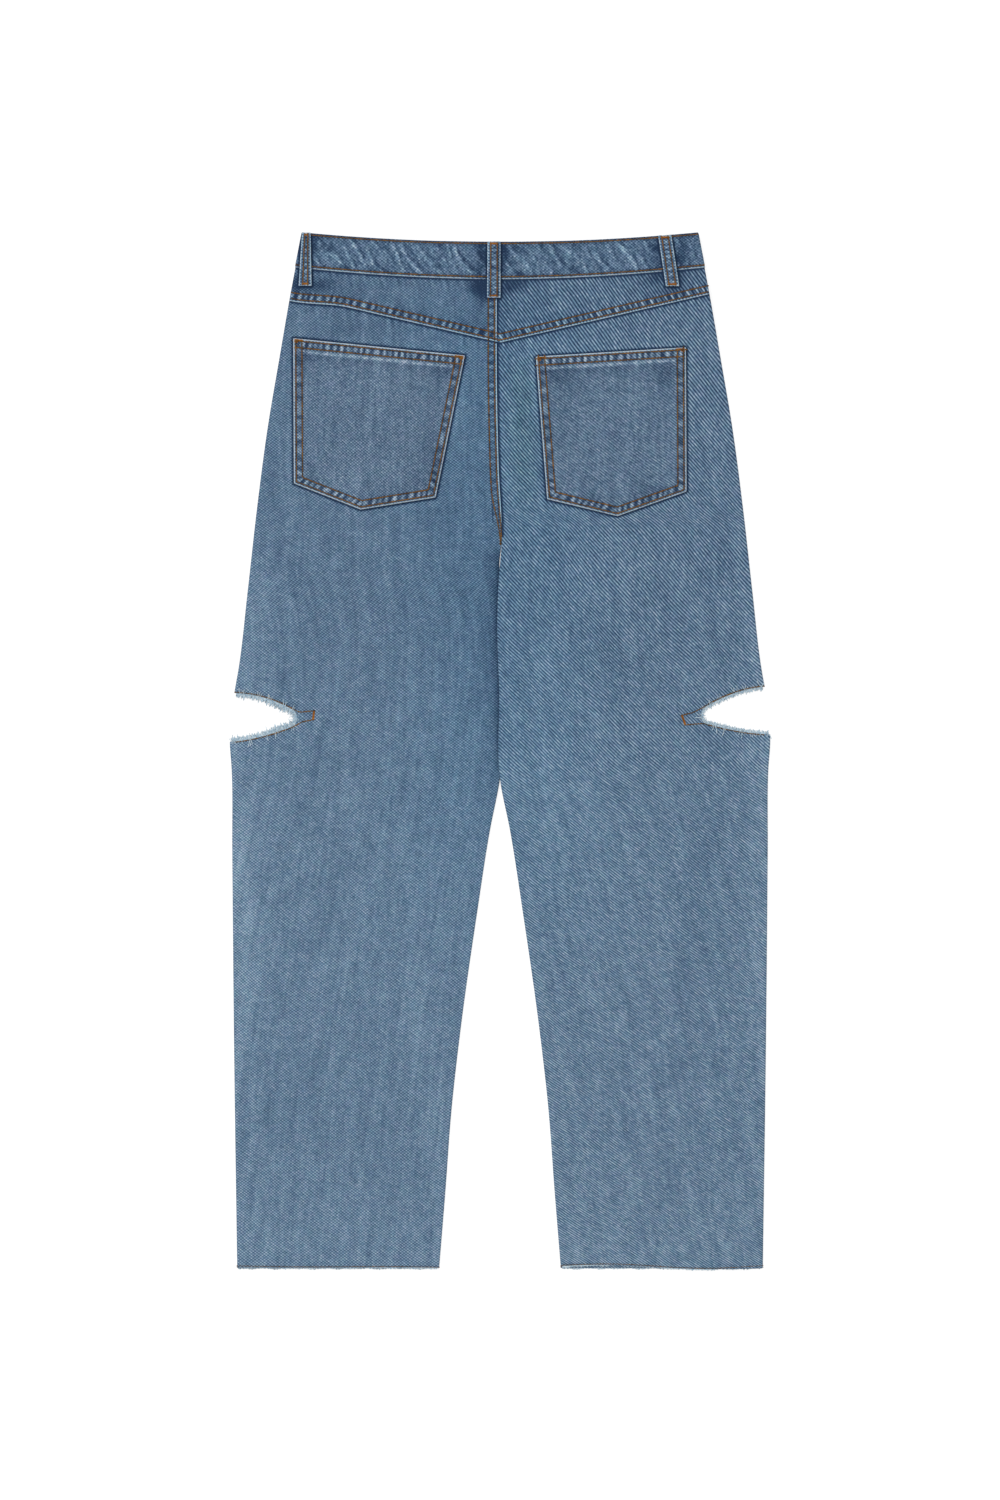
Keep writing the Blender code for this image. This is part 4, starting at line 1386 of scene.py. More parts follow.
@dataclass(frozen=True)
class Yoke:
    """The back yoke, whose lower edge is folded and felled onto the leg."""

    side: Side
    step: float = 1.35

    @property
    def name(self) -> str:
        """The piece's name."""
        return f"yoke_{self.side.word}_cloth"

    def cloth(self) -> Cloth:
        """Lays the yoke.

        Returns:
            Its middle surface.
        """
        ply = Ply(self.side, Layer.BACK)
        start, end = ply.flat_at(HIP_LEVEL)
        u = columns(end - start, self.step)
        low = ply.meet(u, lambda d: yoke_height(self.side, d))
        high = ply.meet(u, lambda d: waist_curve(BACK_BOTTOM, d)) - HAIRLINE
        rows = round(float(np.max(high - low)) / self.step)
        share = np.linspace(0.0, 1.0, rows + 1)[:, None]
        # rows crowd towards the fold
        y = low + (high - low) * (0.55 * share + 0.45 * share**2)
        u = u + 0.0 * y
        points = ply.points(u, y)
        x, y = points[..., 0], points[..., 1]
        inset = (y - yoke_height(self.side, np.abs(x))) * OFF_YOKE
        along = np.abs(x) * ALONG_YOKE
        roped = between(inset, YOKE_ROWS, 2.2, 4.2)
        roping = rope(along + 0.35 * inset, 1.0 + self.side)
        strip = FELL_RISE * (1.0 - ease(inset, FELL, FELL + 3.0))
        strip = strip + ROPE_HEIGHT * roping * roped - 0.5 * (1.0 - ease(inset, 0.0, 1.4))
        across_inset, across_strength = ply.felled(x, y)
        points[..., 2] += np.maximum(strip - ply.strip(x, y), 0.0)
        weave = places(self.side * ply.spread(u, y), y)
        tone = wash(x, y) + roped * (0.46 * roping - 0.10)
        above = np.exp(-np.maximum(inset - 8.6, 0.0) / 6.0) * ease(inset, 7.6, 9.4)
        tone = tone + above * (0.11 * waver(along / 7.0, 4.0) - 0.05) - 0.03
        ticks = np.exp(-np.maximum(inset - 8.8, 0.0) / 2.0) * ease(inset, 7.8, 9.0)
        tone = tone + 0.20 * roping * ticks
        seat = across_strength * between(across_inset, SEAT_ROWS, 2.6, 4.0)
        tone = tone + seat * 0.26 * rope(y, 5.0) * ease(inset, 8.0, 10.0)
        edge = np.minimum(inset, np.where(across_strength > 0.6, across_inset, FAR))
        below = (waist_curve(BACK_BOTTOM, np.abs(x)) - y) * 0.99
        # painted shade just below the waistband's edge
        tone = tone - 0.05 * np.exp(-below / 6.0)
        tone = tone + 0.21 * waver((x + 0.3 * y) / 6.0, 3.0) * np.exp(-below / 11.0)
        # under is where the finish paints shade: below the waistband, right of the seat seam and round the
        # back belt loops
        under = np.maximum(below, 0.0)
        if self.side is Side.RIGHT:
            under = np.minimum(under, np.maximum(x - through(SEAT_SEAM, y), 0.0))
        # painted shade, partly unfaded cloth, round each back belt loop
        for loop in LOOPS:
            if loop.layer is Layer.BACK:
                away, _ = clear_of(x, y, loop.ring())
                under = np.minimum(under, away)
                tone = tone - 0.07 * np.exp(-away / 5.0)
        return Cloth.of_grid(self.name, points, weave, tone, edge, under)


@dataclass(frozen=True)
class Loop:
    """A belt loop from its sewn-down lower end to the top of the waistband."""

    name: str
    layer: Layer
    low: tuple[float, float]
    high: tuple[float, float]
    low_width: float
    high_width: float
    bow: float
    step: float = 0.85

    def grid(self, across: Array, along: Array) -> tuple[Array, Array]:
        """Finds places on the loop.

        Args:
            across: Shares across it, from -0.5 to 0.5.
            along: Shares along it.

        Returns:
            The places across the garment and their heights.
        """
        width = self.low_width + (self.high_width - self.low_width) * along
        x = self.low[0] + (self.high[0] - self.low[0]) * along + width * across
        y = self.low[1] + (self.high[1] - self.low[1]) * along + 0.0 * x
        return x, y

    def ring(self) -> Array:
        """Corners of the loop's outline."""
        across, along = np.array([-0.5, 0.5, 0.5, -0.5]), np.array([0.0, 0.0, 1.0, 1.0])
        return places(*self.grid(across, along))

    def cloth(self) -> Cloth:
        """Lays the loop, with soft raised sides.

        Returns:
            Its middle surface.
        """
        rows, cols = round(54.0 / self.step), round(12.6 / self.step)
        along = np.linspace(0.0, 1.0, rows + 1)[:, None]
        across = np.linspace(-0.5, 0.5, cols + 1)
        x, y = self.grid(across, along)
        width = self.low_width + (self.high_width - self.low_width) * along
        back = self.layer is Layer.BACK
        seam = waist_curve(BACK_BOTTOM if back else FRONT_BOTTOM, self.low[0])
        out = 1.0 if back else -1.0
        proud = (BAND - CLOTH) / 2 * ease(y, seam - 7.0, seam - 1.5)
        bow = self.bow * np.sin(math.pi * along) ** 0.7
        inset = (0.5 - np.abs(across)) * width
        crown = 0.35 * ease(inset, 0.0, 1.2) - 0.3 * bell(inset, 3.1, 0.7)
        crown = crown + 0.12 * rope(y + 1.5 * across, 2.0, 6.0) * ease(inset, 3.0, 4.2)
        if not back:
            crown = 0.3 * crown
        off = proud + bow + LAID_GAP + STRAP / 2 + crown
        z = outer_face(self.layer, x, y) + out * off
        edge = np.minimum(inset + 0.0 * y, np.minimum(along, 1.0 - along) * 53.0 + 0.0 * x)
        tone = -0.12 + 0.06 * ease(inset, 3.8, 5.6)
        tone = tone + 0.24 * rope(y, self.low[0], 6.0) * ease(inset, 3.4, 4.6)
        return Cloth.of_grid(self.name + "_cloth", places(x, y, z), places(x, y), tone, edge, FAR)


LOOPS = (
    Loop("belt_loop_back_left", Layer.BACK, (-194.8, 465.7), (-193.6, 518.6), 12.4, 8.0, 0.9),
    Loop("belt_loop_back_centre", Layer.BACK, (-6.2, 453.6), (-6.0, 509.6), 12.8, 12.4, 1.0),
    Loop("belt_loop_back_right", Layer.BACK, (172.5, 465.3), (164.7, 515.8), 12.8, 12.6, 0.9),
    Loop("belt_loop_front_left", Layer.FRONT, (-105.0, 445.0), (-103.0, 494.0), 12.6, 12.6, 0.5),
    Loop("belt_loop_front_right", Layer.FRONT, (105.0, 445.0), (103.0, 494.0), 12.6, 12.6, 0.5),
)


def beside_loops(layer: Layer, x: Array, y: Array) -> Array:
    """Distance out from the nearest belt loop of a layer."""
    away = (clear_of(x, y, loop.ring())[0] for loop in LOOPS if loop.layer is layer)
    return functools.reduce(np.minimum, away, np.full(x.shape, FAR))


@dataclass(frozen=True)
class Waistband:
    """One strip all round, drawn into slanting puckers between its two rows of stitches."""

    step: float = 1.6
    rows: int = 22
    pucker: float = 0.42
    pucker_period: float = 13.5

    def quarter(self, side: Side, layer: Layer) -> dict[str, Array]:
        """Lays one quarter of the strip, from its middle to the side.

        Args:
            side: The wearer's side.
            layer: Back or front.

        Returns:
            Grids of the points and of what the finish reads, by name.
        """
        back = layer is Layer.BACK
        lap = 0.0 if back else (OVERLAP_END if side is Side.LEFT else UNDERLAP_END)
        ply = Ply(side, layer, lap=lap, band=True, roll_gap=0.0)
        start, end = ply.flat_at(WAIST_LEVEL)
        u = columns(end - start, self.step)[4:]
        bottom, top = (BACK_BOTTOM, BACK_TOP) if back else (FRONT_BOTTOM, FRONT_TOP)
        low = ply.meet(u, lambda d: waist_curve(bottom, d)) + HAIRLINE
        high = ply.meet(u, lambda d: waist_curve(top, d))
        share = np.linspace(0.0, 1.0, self.rows)[:, None]
        y = low + (high - low) * share
        u = u + 0.0 * y
        points = ply.points(u, y)
        x, y = points[..., 0], points[..., 1]
        inset = np.minimum(y - low, high - y)
        level = y - (low + high) / 2
        slant = x / self.pucker_period + 0.045 * level
        place = slant + 0.55 * waver(x / 47.0, 8.0) + 0.05 * waver(level / 9.0 + x / 30.0, 2.0) * level / 4
        # a narrow crest with a hollow in its lee
        turn = place - np.floor(place)
        crest = bell(turn, 0.45, 0.13) - 0.8 * bell(turn, 0.76, 0.16)
        broken = waver(x / 33.0 + level / 26.0, 6.0) + 0.7 * waver(x / 17.0 - level / 19.0, 1.0)
        wave = 1.3 * crest * np.clip(0.65 + 0.9 * broken, 0.0, 2.0)
        wave = wave + 0.4 * waver(x / 6.1 + level / 9.0, 9.0) + 0.35 * waver(x / 5.0 - level / 7.0, 5.0)
        inner = ease(inset, 1.2, 5.0)
        relief = self.pucker * wave * inner - 0.28 * bell(inset, 2.2, 0.9)
        relief = relief - 0.45 * (1.0 - ease(inset, 0.0, 1.1))
        points[..., 2] += relief if back else -relief
        spread = side * (ply.spread(u, y) + start)
        # the puckers are worn paler on their crests and get painted shade in their hollows
        tone = wash(x, y) - 0.03 + 0.20 * wave * inner
        # painted shade in the groove along each edge, and a darker top edge
        tone = tone - 0.10 * bell(inset, 3.2, 1.4) - 0.18 * np.exp(-(high - y) / 1.5)
        # under is where the finish paints shade, partly unfaded cloth, beside the belt loops
        return {
            "points": points, "weave": places(spread, y), "tone": tone,
            "edge": np.minimum(y - low, high - y + 1.0), "under": beside_loops(layer, x, y),
        }

    def cloth(self) -> Cloth:
        """Joins the four quarters into one strip.

        Returns:
            Its middle surface.
        """
        right_front, right_back, left_back, left_front = (
            self.quarter(side, layer)
            for side, layer in (
                (Side.RIGHT, Layer.FRONT), (Side.RIGHT, Layer.BACK),
                (Side.LEFT, Layer.BACK), (Side.LEFT, Layer.FRONT),
            )
        )
        joined = {}
        for name, first in right_front.items():
            parts = (first, right_back[name][:, -2::-1], left_back[name][:, 1:], left_front[name][:, -2::-1])
            joined[name] = np.concatenate(parts, axis=1)
        return Cloth.of_grid("waistband_cloth", **joined)


@dataclass(frozen=True)
class PocketPatch:
    """The cloth of a back pocket: a hem at the mouth and turned edges all round."""

    cut: PatchPocket
    step: float = 1.5
    hem: float = 10.2
    turned: float = 9.6

    def cloth(self) -> Cloth:
        """Lays the pocket on the leg under it.

        Returns:
            Its middle surface.
        """
        ring = self.cut.ring()
        top_left, top_right, bottom_right, tip, bottom_left = ring
        at_tip = (tip[0] - bottom_left[0]) / (bottom_right[0] - bottom_left[0])
        count = round(165.0 / self.step)
        left = round(count * at_tip)
        across = np.concatenate(
            [np.linspace(0.0, at_tip, left + 1), np.linspace(at_tip, 1.0, count - left + 1)[1:]]
        )[:, None]
        top = top_left + (top_right - top_left) * across
        left_part = bottom_left + (tip - bottom_left) * across / at_tip
        right_part = tip + (bottom_right - tip) * (across - at_tip) / (1.0 - at_tip)
        bottom = np.where(across <= at_tip, left_part, right_part)
        share = np.linspace(0.0, 1.0, count + 1)[:, None, None]
        flat = bottom + (top - bottom) * share
        x, y = flat[..., 0], flat[..., 1]
        mouth, mouth_run = segment_distance(x, y, ring[[0, 1]], closed=False)
        sides, side_run = segment_distance(x, y, ring[[1, 2, 3, 4, 0]], closed=False)
        inset = np.minimum(mouth, sides)
        rim = 0.75 * (1.0 - ease(sides, self.turned, self.turned + 2.2))
        hem = 1.0 * (1.0 - ease(mouth, self.hem, self.hem + 1.8))
        side_rope, mouth_rope = rope(side_run + 0.4 * sides, 4.0 + self.cut.side), rope(mouth_run, 9.0, 6.8)
        on_side = between(sides, 5.6, 2.2, 4.0) * ease(mouth, 9.0, 12.0)
        on_mouth = between(mouth, 5.4, 2.2, 3.9)
        bottom_only = ease(y, tip[1] + 60.0, tip[1] + 30.0)
        weight = 0.45 + 0.55 * bottom_only
        relief = np.maximum(rim, hem) + ROPE_HEIGHT * (side_rope * on_side * weight + mouth_rope * on_mouth)
        relief = relief - 0.45 * (1.0 - ease(inset, 0.0, 1.3)) + 0.35 * ease(inset, 12.0, 50.0)
        z = outer_face(Layer.BACK, x, y) + POCKET_GAP + CLOTH / 2 + relief
        tone = wash(x, y) - 0.01
        long_rope = rope(side_run, 2.0 + self.cut.side, 14.0)
        pulled = 0.38 * side_rope * bottom_only + 0.22 * long_rope * (1.0 - bottom_only)
        tone = tone + on_side * (pulled - 0.06) + on_mouth * (0.44 * mouth_rope - 0.02)
        ridge = 0.34 + 0.28 * waver(mouth_run / 8.0, 8.0)
        tone = tone + ridge * bell(mouth, 12.0, 1.3) * ease(sides, 8.0, 11.0)
        # painted shade in the lee of the mouth's hem, uneven along it
        lee = np.maximum(mouth - 15.0, 0.0)
        painted_hem_shade = 0.09 + 0.16 * waver(mouth_run / 13.0, 3.0)
        tone = tone - painted_hem_shade * np.exp(-lee / 6.0) * ease(mouth, 13.0, 16.0) * ease(sides, 8.0, 12.0)
        beyond = np.maximum(sides - 10.5, 0.0)
        pulls = waver(side_run / 6.5, 5.0) * np.exp(-beyond / 7.0) * ease(sides, 9.0, 11.0)
        tone = tone + pulls * (0.03 + 0.09 * bottom_only)
        return Cloth.of_grid(self.cut.name + "_cloth", places(x, y, z), places(x, y), tone, inset, FAR)


@dataclass(frozen=True)
class Facing:
    """The hip corner that shows in a front pocket's mouth."""

    side: Side
    low: float = 385.0
    inset: float = 1.5

    def cloth(self) -> Cloth:
        """Lays the facing behind the front panel's mouth.

        Returns:
            Its middle surface.
        """
        ply = Ply(self.side, Layer.FRONT)
        start, end = ply.flat_at(HIP_LEVEL)
        u = columns(end - start, 3.0)[4:]
        first = 106.0 - start
        place = (u - ROLL_SHARE) / (1.0 - 2.0 * ROLL_SHARE) * (end - start)
        u = u[place >= first]
        high = ply.meet(u, lambda d: waist_curve(FRONT_BOTTOM, d)) - HAIRLINE
        low = ply.meet(
            u, lambda d: np.minimum(mouth_height(d, 12.0) + 0.3, waist_curve(FRONT_BOTTOM, d) - 2.0),
        )
        y = low + (high - low) * np.linspace(0.0, 1.0, 26)[:, None]
        u = u + 0.0 * y
        points = ply.points(u, y)
        _, end = ply.limits(y)
        x, y = points[..., 0], points[..., 1]
        points[..., 2] += self.inset * ease(end - np.abs(x), 2.0, 14.0)
        # painted shade along the pocket mouth, where the facing goes under the front panel
        under = np.abs(mouth_height(np.abs(x)) - y)
        name = f"pocket_facing_{self.side.word}_cloth"
        return Cloth.of_grid(name, points, places(x, y), 0.0 * x, FAR, under)


@dataclass(frozen=True)
class Thread:
    """The look of a thread: two colours that it varies between."""

    name: str
    dark: Colour
    pale: Colour
    patch: float = 5.0  # size of the variation, in millimetres
    twist: float = 320.0  # waves of its twisted ply

    def made(self) -> Material:
        """Builds the material.

        Returns:
            The material.
        """
        material, g, shader = new_material(self.name)
        place = g.add("ShaderNodeTexCoord").outputs["Object"]
        spread = g.noise(place, 1.0 / (self.patch * MM), 3.0)
        level = g.math("MULTIPLY_ADD", spread, 2.2, 0.5)
        colour = g.shaded(level, ((0.0, self.dark), (1.0, self.pale)))
        ply = g.add("ShaderNodeTexWave", {"bands_direction": "DIAGONAL"}, Vector=place, Scale=self.twist)
        g.bump(shader, ply.outputs["Fac"], 0.4, 0.1 * MM)
        g.fill(shader, Base_Color=colour, Roughness=0.8, Specular_IOR_Level=0.2)
        return material


@dataclass(frozen=True)
class WornBrass:
    """Brushed button metal, darker where it is sunk or rubbed less."""

    name: str = "button metal worn"
    bright: Colour = (176, 150, 112)
    dull: Colour = (96, 76, 50)

    def made(self) -> Material:
        """Builds the material.

        Returns:
            The material.
        """
        material, g, shader = new_material(self.name)
        place = g.add("ShaderNodeTexCoord").outputs["Object"]
        spots = g.noise(place, 420.0, 4.0)
        point = g.add("ShaderNodeNewGeometry").outputs["Pointiness"]
        level = g.total(0.5, g.math("MULTIPLY", spots, 1.6), g.math("MULTIPLY_ADD", point, 6.0, -3.0))
        colour = g.shaded(level, ((0.0, self.dull), (1.0, self.bright)))
        g.bump(shader, spots, 0.25, 0.1 * MM)
        g.fill(shader, Base_Color=colour, Roughness=g.math("MULTIPLY_ADD", spots, 0.3, 0.38), Metallic=1.0)
        return material


class Ground:
    """The outer face of a finished piece, for threads to be laid on."""

    REACH = 60.0 * MM

    def __init__(self, piece: Piece, layer: Layer) -> None:
        """Reads the piece's final surface."""
        self.tree = BVHTree.FromObject(piece, bpy.context.evaluated_depsgraph_get())
        self.up = 1.0 if layer is Layer.BACK else -1.0

    def drop(self, x: Array, y: Array) -> tuple[Array, Array]:
        """Lays places on the cloth.

        Args:
            x: Places across, in millimetres.
            y: Heights, in millimetres.

        Returns:
            Points in metres and the cloth's normals there.
        """
        points, normals = [], []
        for px, py in zip(x * MM, y * MM):
            start = Vector((px, py, self.up * self.REACH))
            hit, normal, _, _ = self.tree.ray_cast(start, Vector((0.0, 0.0, -self.up)))
            if hit is None:
                hit, normal, _, _ = self.tree.find_nearest(Vector((px, py, 6.0 * MM)))
            if normal.z * self.up < 0.3:
                normal = Vector((0.0, 0.0, self.up))
            points.append(hit)
            normals.append(normal)
        return np.array(points), np.array(normals)


def dense(path: Array, step: float = 1.6) -> Array:
    """Puts a point at about every step of an open path.

    Args:
        path: Places, which may have more columns than two.
        step: The distance between two points.

    Returns:
        The path with all its columns.
    """
    spans = np.hypot(*np.diff(path[:, :2], axis=0).T)
    run = np.concatenate([[0.0], np.cumsum(spans)])
    at = np.linspace(0.0, run[-1], max(2, round(run[-1] / step) + 1))
    return places(*(np.interp(at, run, column) for column in path.T))


def shifted(chain: Array, amount: float) -> Array:
    """Moves an open chain of straight runs to its left.

    Args:
        chain: Its corners.
        amount: How far.

    Returns:
        The corners of the moved chain.
    """
    run = np.diff(chain, axis=0)
    run = run / np.hypot(*run.T)[:, None]
    left = places(-run[:, 1], run[:, 0])
    moved = [chain[0] + left[0] * amount]
    for k in range(1, len(chain) - 1):
        both = left[k - 1] + left[k]
        moved.append(chain[k] + both * amount * 2.0 / (both @ both))
    moved.append(chain[-1] + left[-1] * amount)
    return np.array(moved)


class NodesRecipe:
    """A Geometry Nodes tree with named inputs, and how to use it."""

    def __init__(self, name: str, sizes: dict[str, float]) -> None:
        """Makes an empty tree.

        Args:
            name: The tree's name.
            sizes: Its number inputs by name, with their usual values.
        """
        self.tree = bpy.data.node_groups.new(name, "GeometryNodeTree")
        self.g = Graph(self.tree)
        face = self.tree.interface
        face.new_socket("Geometry", in_out="INPUT", socket_type="NodeSocketGeometry")
        self.keys = {}
        for size, value in sizes.items():
            socket = face.new_socket(size, in_out="INPUT", socket_type="NodeSocketFloat")
            socket.default_value = value
            self.keys[size] = socket.identifier
        for size, kind in (("Seed", "NodeSocketInt"), ("Finish", "NodeSocketMaterial")):
            self.keys[size] = face.new_socket(size, in_out="INPUT", socket_type=kind).identifier
        face.new_socket("Geometry", in_out="OUTPUT", socket_type="NodeSocketGeometry")
        self.given = self.tree.nodes.new("NodeGroupInput").outputs

    def strand(self, ends: tuple, middle: Socket, sides: int, steps: int) -> Socket:
        """Bends a short tube, as thick as the input Thickness.

        Args:
            ends: Where it starts and ends.
            middle: What it bends towards.
            sides: Sides of the tube.
            steps: Runs along it.

        Returns:
            The tube.
        """
        g = self.g
        bend = g.add(
            "GeometryNodeCurveQuadraticBezier", Resolution=steps, Start=ends[0], Middle=middle, End=ends[1],
        )
        radius = g.math("MULTIPLY", self.given["Thickness"], 0.5)
        ring = g.add("GeometryNodeCurvePrimitiveCircle", Resolution=sides, Radius=radius).outputs[0]
        tube = g.add("GeometryNodeCurveToMesh", Curve=bend.outputs[0], Profile_Curve=ring, Fill_Caps=True)
        return tube.outputs[0]

    def place(self, x: object, y: object = 0.0, z: object = 0.0) -> Socket:
        """Joins three numbers into a place."""
        return self.g.add("ShaderNodeCombineXYZ", X=x, Y=y, Z=z).outputs[0]

    def kept(self, name: str, kind: str) -> Socket:
        """Reads what is kept on the path, a FLOAT or a FLOAT_VECTOR."""
        node = self.g.add("GeometryNodeInputNamedAttribute", {"data_type": kind}, Name=name)
        return node.outputs["Attribute"]

    def random(self, low: object, high: object, seed_step: int) -> Socket:
        """Draws a number or a vector for each place.

        Args:
            low: Its lower bound.
            high: Its upper bound.
            seed_step: What is added to the input Seed.

        Returns:
            The drawn value.
        """
        kind = "FLOAT_VECTOR" if isinstance(low, tuple) else "FLOAT"
        node = self.g.add("FunctionNodeRandomValue", {"data_type": kind})
        shown = [s for s in node.inputs if s.enabled]
        shown[0].default_value, shown[1].default_value = low, high
        self.g.fill(node, Seed=self.g.math("ADD", self.given["Seed"], float(seed_step)))
        return next(s for s in node.outputs if s.enabled)

    def aimed(self, axis: str, way: Socket, pivot: str = "AUTO", **before: Socket) -> Socket:
        """A rotation that turns one axis a given way, after another Rotation."""
        settings = {"axis": axis, "pivot_axis": pivot}
        return self.g.add("FunctionNodeAlignRotationToVector", settings, Vector=way, **before).outputs[0]

    def turned(self, before: Socket, euler: Socket) -> Socket:
        """Turns a rotation on about its own axes.

        Args:
            before: The rotation.
            euler: The three angles to turn it on by.

        Returns:
            The new rotation.
        """
        by = self.g.add("FunctionNodeEulerToRotation", in0=euler).outputs[0]
        settings = {"rotation_space": "LOCAL"}
        return self.g.add("FunctionNodeRotateRotation", settings, Rotation=before, Rotate_By=by).outputs[0]

    def along_path(self) -> Socket:
        """Makes the input's edges curves with a point at every pitch.

        Returns:
            The curves.
        """
        g, pitch = self.g, self.given["Pitch"]
        curves = g.add("GeometryNodeMeshToCurve", in0=self.given["Geometry"]).outputs[0]
        return g.add("GeometryNodeResampleCurve", {"mode": "LENGTH"}, Curve=curves, Length=pitch).outputs[0]

    def end(self, points: Socket, shape: Socket, turn: Socket, scale: Socket) -> None:
        """Puts a shape at every point and ends the tree.

        Args:
            points: The points.
            shape: The shape.
            turn: Its rotation at each of them.
            scale: Its scale at each of them.
        """
        g, given = self.g, {"Points": points, "Instance": shape, "Rotation": turn, "Scale": scale}
        many = g.add("GeometryNodeInstanceOnPoints", **given)
        real = g.add("GeometryNodeRealizeInstances", in0=many.outputs[0])
        smooth = g.add("GeometryNodeSetShadeSmooth", in0=real.outputs[0])
        done = g.add("GeometryNodeSetMaterial", Geometry=smooth.outputs[0], Material=self.given["Finish"])
        g.add("NodeGroupOutput", in0=done.outputs[0])

    def grow(self, name: str, path: Piece, finish: Material, seed: int, **sizes: float) -> Piece:
        """Runs the tree over a path and keeps the result as a plain mesh.

        Args:
            name: The new piece's name.
            path: An object whose edges are the path; it is removed.
            finish: The threads' material.
            seed: Seed of everything random.
            **sizes: Number inputs by name.

        Returns:
            The finished piece.
        """
        nodes = path.modifiers.new("threads", "NODES")
        nodes.node_group = self.tree
        for key, value in {"Seed": seed, "Finish": finish, **sizes}.items():
            nodes[self.keys[key]] = value
        mesh = bpy.data.meshes.new_from_object(path.evaluated_get(bpy.context.evaluated_depsgraph_get()))
        mesh.name = name
        spots = np.empty(3 * len(mesh.vertices))
        mesh.vertices.foreach_get("co", spots)
        spots[2::3] = np.maximum(spots[2::3], PRESSED)
        mesh.vertices.foreach_set("co", spots)
        for spare in [a.name for a in mesh.attributes if a.name in ("up", "out", "reach")]:
            mesh.attributes.remove(mesh.attributes[spare])
        bpy.data.objects.remove(path)
        return placed(name, mesh)


class Stitcher(NodesRecipe):
    """Lays stitches along rows: each one a short arch that dives into the cloth."""

    def __init__(self) -> None:
        """Builds the tree."""
        sizes = {"Pitch": 3.3 * MM, "Length": 2.7 * MM, "Thickness": 0.7 * MM, "Turn": 0.0}
        super().__init__("stitch rows", sizes)
        g = self.g
        half = g.math("MULTIPLY", self.given["Length"], 0.5)
        back = g.math("MULTIPLY", half, -1.0)
        sunk = g.math("MULTIPLY", self.given["Thickness"], -0.35)
        proud = g.math("MULTIPLY", self.given["Thickness"], 0.75)
        ends = (self.place(back, 0.0, sunk), self.place(half, 0.0, sunk))
        stitch = self.strand(ends, self.place(0.0, 0.0, proud), 4, 3)
        turn = self.aimed("X", g.add("GeometryNodeInputTangent").outputs[0])
        turn = self.aimed("Z", self.kept("up", "FLOAT_VECTOR"), "X", Rotation=turn)
        turn = self.turned(turn, self.place(0.0, 0.0, self.given["Turn"]))
        turn = self.turned(turn, self.random((-0.1, -0.03, -0.09), (0.1, 0.03, 0.09), 1))
        self.end(self.along_path(), stitch, turn, self.random(0.88, 1.1, 2))


class Frayer(NodesRecipe):
    """Lets loose threads hang out of a raw edge."""

    def __init__(self) -> None:
        """Builds the tree."""
        sizes = {"Pitch": 0.35 * MM, "Length": 5.0 * MM, "Thickness": 0.34 * MM, "Fan": 0.4}
        super().__init__("loose threads", sizes)
        g = self.g
        length = self.given["Length"]
        sag = g.math("MULTIPLY", length, 0.16)
        middle = self.place(g.math("MULTIPLY", length, 0.5), sag, 0.0)
        thread = self.strand((self.place(0.0), self.place(length)), middle, 3, 3)
        fan = g.scaled(self.random((-3.1, -0.5, -1.0), (3.1, 0.25, 1.0), 1), self.given["Fan"])
        turn = self.turned(self.aimed("X", self.kept("out", "FLOAT_VECTOR")), fan)
        scale = g.math("MULTIPLY", self.kept("reach", "FLOAT"), self.random(0.6, 1.12, 2))
        self.end(self.along_path(), thread, turn, scale)


def path_object(name: str, rows: list[tuple[Array, dict[str, Array]]]) -> Piece:
    """An object of edges along rows.

    Args:
        name: A name for it.
        rows: For each row its points in metres and its directions or numbers by name.

    Returns:
        The object, with the directions and numbers kept on its points.
    """
    points = np.concatenate([row for row, _ in rows])
    edges, first = [], 0
    for row, _ in rows:
        edges += [(first + k, first + k + 1) for k in range(len(row) - 1)]
        first += len(row)
    mesh = bpy.data.meshes.new(name)
    mesh.from_pydata(points.tolist(), edges, [])
    for key in rows[0][1]:
        kept = np.concatenate([facts[key] for _, facts in rows]).astype(np.float32)
        kind, slot = ("FLOAT_VECTOR", "vector") if kept.ndim == 2 else ("FLOAT", "value")
        mesh.attributes.new(key, kind, "POINT").data.foreach_set(slot, kept.ravel())
    return placed(name, mesh)


@dataclass(frozen=True)
class Seam:
    """Rows of stitches that share a thread, a pitch and a piece of cloth."""

    piece: str
    layer: Layer
    rows: tuple[Array, ...]
    lay: Lay = Lay.ALONG


def edge_run(curve: Curve, side: Side, start: float, end: float, offset: float = 0.0) -> Array:
    """Places along a curve over the distance, on one side of the middle."""
    distance = np.linspace(start, end, max(3, round(abs(end - start) / 3.0)))
    return places(side * distance, curve(distance) + offset)


